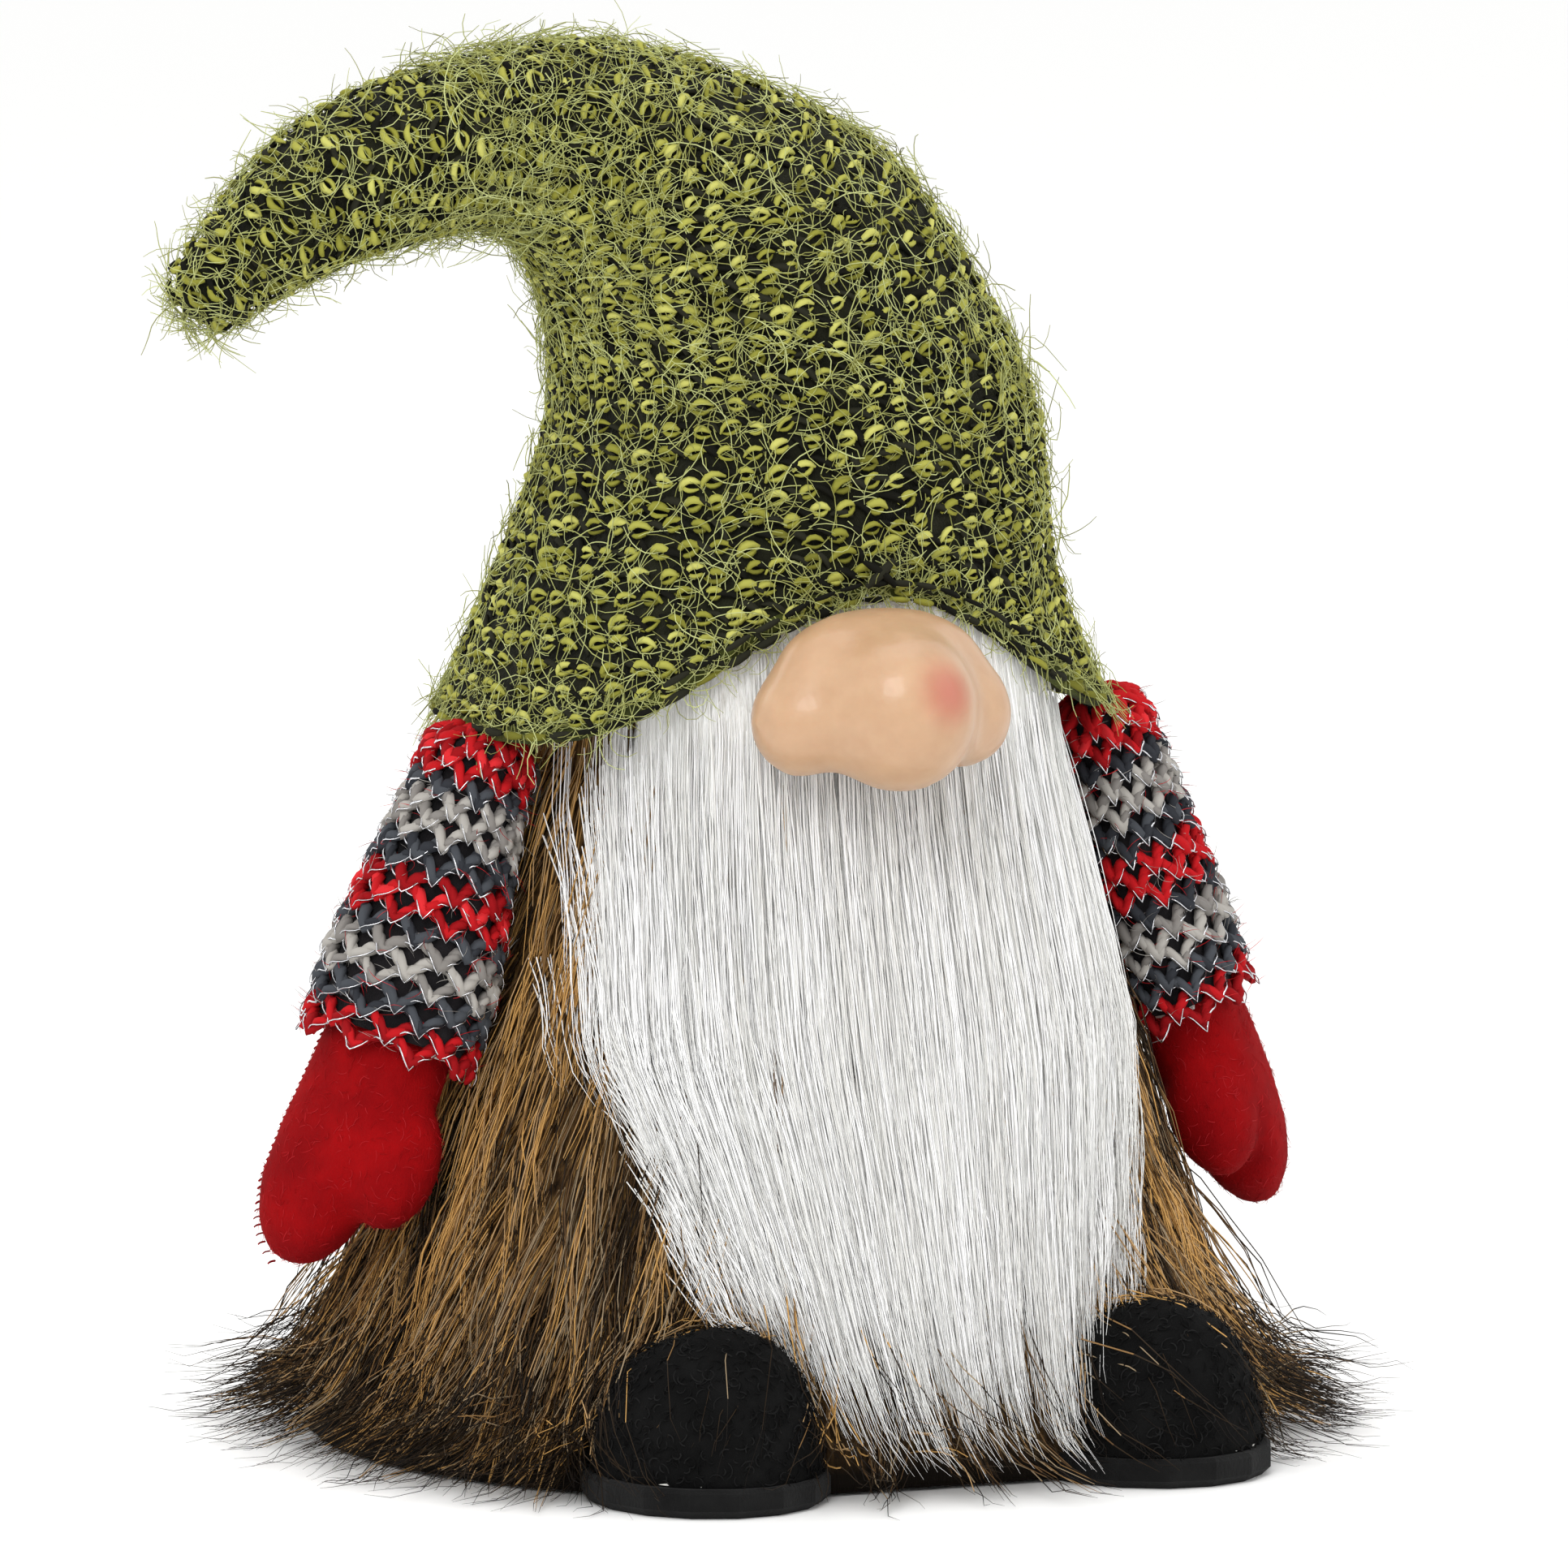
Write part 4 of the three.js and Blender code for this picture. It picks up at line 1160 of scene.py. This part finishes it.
def puffed(piece, voxel, cap):
    """Swells a closed piece as stuffed cloth does, no point further than cap, and smooths it."""
    modifier(piece, "REMESH", mode="VOXEL", voxel_size=voxel)
    applied(piece)
    start = np.array([v.co for v in piece.data.vertices])
    cloth = piece.modifiers.new("cloth", "CLOTH").settings
    cloth.use_pressure = True
    cloth.uniform_pressure_force = CLOTH_PRESSURE
    cloth.effector_weights.gravity = 0
    scene = bpy.context.scene
    for frame_number in range(1, CLOTH_FRAMES + 1):
        scene.frame_set(frame_number)
    applied(piece)
    scene.frame_set(1)
    moved = np.array([v.co for v in piece.data.vertices]) - start
    far = np.linalg.norm(moved, axis=1, keepdims=True)
    moved *= np.minimum(1, cap / np.maximum(far, 1e-9))
    piece.data.vertices.foreach_set("co", (start + moved).reshape(-1).astype(np.float32))
    modifier(piece, "SMOOTH", factor=0.5, iterations=3)
    modifier(piece, "SUBSURF", levels=1, render_levels=1)
    applied(piece)
    piece.data.polygons.foreach_set("use_smooth", [True] * len(piece.data.polygons))
    return face_outwards(piece)


def ball_points(centre, radii, rows=14, columns=20):
    """A closed ball as points and faces."""
    points = [np.array(centre) + np.array(radii) * [0, 0, -1]]
    for tilt in np.linspace(-math.pi / 2, math.pi / 2, rows + 2)[1:-1]:
        for turn in np.linspace(0, TURN, columns, endpoint=False):
            way = [math.cos(tilt) * math.cos(turn), math.cos(tilt) * math.sin(turn), math.sin(tilt)]
            points.append(np.array(centre) + np.array(radii) * way)
    points.append(np.array(centre) + np.array(radii) * [0, 0, 1])
    faces = [tuple(i + 1 for i in f) for f in net_faces(rows, columns)]
    top = len(points) - 1
    faces += [(0, (c + 1) % columns + 1, c + 1) for c in range(columns)]
    faces += [(top - columns + c, top - columns + (c + 1) % columns, top) for c in range(columns)]
    return np.array(points), faces


def make_mitten(name, side):
    columns = PALM_COLUMNS
    angle = np.linspace(0, TURN, columns, endpoint=False)
    round_x, round_y = (np.sign(v) * np.abs(v) ** PALM_SQUARENESS for v in (np.cos(angle), np.sin(angle)))
    rings = [
        np.stack([thick * round_x, back + wide * round_y, np.full(columns, -down)], 1)
        for down, back, wide, thick in PALM
    ]
    faces = net_faces(len(rings), columns)
    faces.append(tuple(range(columns - 1, -1, -1)))
    faces.append(tuple(range((len(rings) - 1) * columns, len(rings) * columns)))
    hand = np.concatenate(rings)
    thumb, thumb_faces = ball_points(THUMB, THUMB_RADII)
    faces += [tuple(i + len(hand) for i in f) for f in thumb_faces]
    shape = (np.concatenate([hand, thumb]) - PALM_MIDDLE) * PALM_SHRINK + PALM_MIDDLE
    piece = puffed(mesh_piece("mitten_felt_" + name, arm_place(side, shape), faces), 2.2 * MM, 2 * MM)
    wear(piece, fibrous("red_felt_" + name, "#7c0207", "#98050a", 0.95, fibre=0.0006, sheen=0.0))
    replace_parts(piece, "mitten_" + name)
    settle(piece, "arm_" + name)
    nap = nap_of(*spots_on(piece, MITTEN_HAIRS), (1, 3.6), (1.5, 5), (0.1, 0.9), 5)
    reds = matt_tones(0.8, {"nap_red_" + name: "#9c0a10", "nap_light_red_" + name: "#b4242a"})
    strands("mitten_nap_" + name, nap, reds, "arm_" + name, "red_felt", thickness=0.07 * MM)
    make_mitten_seam(name, side)


def make_mitten_seam(name, side):
    """A ridge of small stitches down the back edge of the hand and round its end."""
    rows = np.array(PALM, float)[1:]
    down = np.linspace(rows[0, 0], rows[-1, 0], SEAM_STITCHES)
    back = np.interp(down, rows[:, 0], rows[:, 1] + rows[:, 2]) + 0.2
    edge = np.stack([0 * down, back, -down], 1)
    share = np.linspace(-1, 1, 5)[None, :, None]
    bow = (1 - share**2) * np.array([0, 0.35, 0])
    lines = edge[:, None] + share * np.array([1.3, 0, 0.5]) + bow
    thread = coat_of("seam_red_" + name, "#8e070d", 0.8, **MATT)
    look = dict(sides=4, thickness=0.26 * MM, taper=0.0)
    strands("mitten_seam_" + name, arm_place(side, lines), [thread], "arm_" + name, "red_felt", **look)


# ---- boots ----
BOOT_INSET = 1.5 * MM  # room for the boot to puff up
BOOT_HAIRS = 2100


def make_boot(name):
    low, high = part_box("boot_upper_" + name)
    sole_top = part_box("boot_sole_" + name)[1].z
    centre = np.array([(low.x + high.x) / 2, (low.y + high.y) / 2, 0])
    half_width, half_length = (high.x - low.x) / 2 - BOOT_INSET, (high.y - low.y) / 2 - BOOT_INSET
    foot = sole_top * 0.6
    rows, columns = 16, 44
    points, turns = [], np.linspace(0, TURN, columns, endpoint=False)
    for tilt in np.linspace(0, math.pi / 2, rows, endpoint=False):
        wide = math.cos(tilt) ** 0.62
        for turn in turns:
            up = foot + (high.z - foot) * math.sin(tilt) * (1 - 0.12 * math.sin(turn))
            away = np.array([half_width * wide * math.cos(turn), half_length * wide * math.sin(turn), up])
            points.append(centre + away)
    points += [centre + [0, 0, high.z], centre + [0, 0, foot]]
    faces = net_faces(rows, columns)
    last = (rows - 1) * columns
    faces += [(last + c, last + (c + 1) % columns, len(points) - 2) for c in range(columns)]
    faces += [((c + 1) % columns, c, len(points) - 1) for c in range(columns)]
    piece = puffed(mesh_piece("boot_fleece_" + name, points, faces), 3 * MM, 1.2 * MM)
    look = dict(fibre=1.3 * MM, sheen=0.0, depth=1.0 * MM)
    wear(piece, fibrous("boot_fleece_" + name, "#070707", "#131313", 0.95, **look))
    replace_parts(piece, "boot_upper_" + name)
    settle(piece, "root")
    spots, out = spots_on(piece, BOOT_HAIRS)
    keep = spots[:, 2] > sole_top
    fleece = nap_of(spots[keep], out[keep], (1.5, 4.5), (0.9, 2.4), (0.3, 1.3), 6)
    blacks = matt_tones(0.8, {"fleece_black_" + name: "#0b0b0b", "fleece_coal_" + name: "#1c1c1c"})
    strands("boot_curls_" + name, fleece, blacks, "root", "boot_fleece", thickness=0.19 * MM)


# ---- nose ----
BLUSH_PLACE, BLUSH_REACH = (0.002, -0.105, 0.188), 0.0125
NOSE_VOXEL = 2.2 * MM


def nose_vinyl():
    soft = dict(Subsurface_Weight=0.12, Subsurface_Scale=4 * MM, Coat_Weight=0.15)
    made = coat_of("nose_vinyl", "#eccba9", 0.36, **soft)
    pattern = Pattern(made)
    where = pattern.node("ShaderNodeTexCoord").outputs["Object"]
    inputs = {0: where, 1: BLUSH_PLACE}
    far = pattern.node("ShaderNodeVectorMath", inputs, operation="DISTANCE").outputs["Value"]
    inputs = {"Value": far, "From Min": 0.001, "From Max": BLUSH_REACH, "To Min": 0.85, "To Max": 0.0}
    near = pattern.node("ShaderNodeMapRange", inputs, interpolation_type="SMOOTHSTEP").outputs["Result"]
    mottle = pattern.grain(0.009, detail=3)
    skin = pattern.ramp(mottle, [(0.3, "#b58f6d"), (0.7, "#bf9a78")])
    pattern.colour(pattern.mix(near, skin, linear("#b25a48")))
    pattern.relief(pattern.grain(0.0035, detail=2), 0.00012)
    return made


def make_nose():
    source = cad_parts["nose"]
    data = source.data.copy()
    piece = bpy.data.objects.new("nose_vinyl", data)
    bpy.context.scene.collection.objects.link(piece)
    modifier(piece, "WELD", merge_threshold=0.02 * MM)
    modifier(piece, "REMESH", mode="VOXEL", voxel_size=NOSE_VOXEL)
    modifier(piece, "SMOOTH", factor=0.6, iterations=26)
    modifier(piece, "SUBSURF", levels=1, render_levels=1)
    applied(piece)
    piece.data.polygons.foreach_set("use_smooth", [True] * len(piece.data.polygons))
    wear(face_outwards(piece), nose_vinyl())
    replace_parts(piece, "nose")
    settle(piece, "root")


# ---- pieces that keep their built shape ----
def dress_nodes():
    """Gives every piece that isn't made anew its own finish."""
    finishes = {
        "base_cloth": fibrous("base_felt", "#16130f", "#2b251d", 0.9),
        "base_board": fibrous("grey_board", "#8d8577", "#a59c8c", 0.85, fibre=0.0012),
        "pellet_bag": fibrous("bag_canvas", "#b5a88c", "#cdc1a5", 0.9),
        "stuffing": fibrous("white_stuffing", "#d8d6d0", "#f1f0ec", 0.95, fibre=0.002),
        "boot_sole": fibrous("sole_felt", "#0e0e0e", "#1a1a1a", 0.9),
        "hat_hem": fibrous("hem_knit", "#1b1d10", "#596026", 0.9, fibre=0.0014, depth=0.001),
        "hat_wire": fibrous("wire_zinc", "#8f9295", "#aaadb0", 0.35, sheen=0.0, depth=0.00005),
        "nose_stud": fibrous("stud_vinyl", "#d9b592", "#e7c7a6", 0.45, sheen=0.0, depth=0.00005),
        "nose_washer": fibrous("washer_plastic", "#dadad6", "#eeeeea", 0.4, sheen=0.0, depth=0.00005),
        "shoulder_tab": fibrous("tab_cloth", "#3b3733", "#57524c", 0.9),
    }
    for name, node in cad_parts.items():
        keys = [key for key in finishes if key in name]
        if keys:
            wear(node, finishes[max(keys, key=len)])


def main():
    make_camera()
    make_studio()
    dress_nodes()
    make_fur()
    make_beard()
    make_hat()
    for name, side in SIDES.items():
        make_sleeve(name, side)
        make_mitten(name, side)
        make_boot(name)
    make_nose()


main()
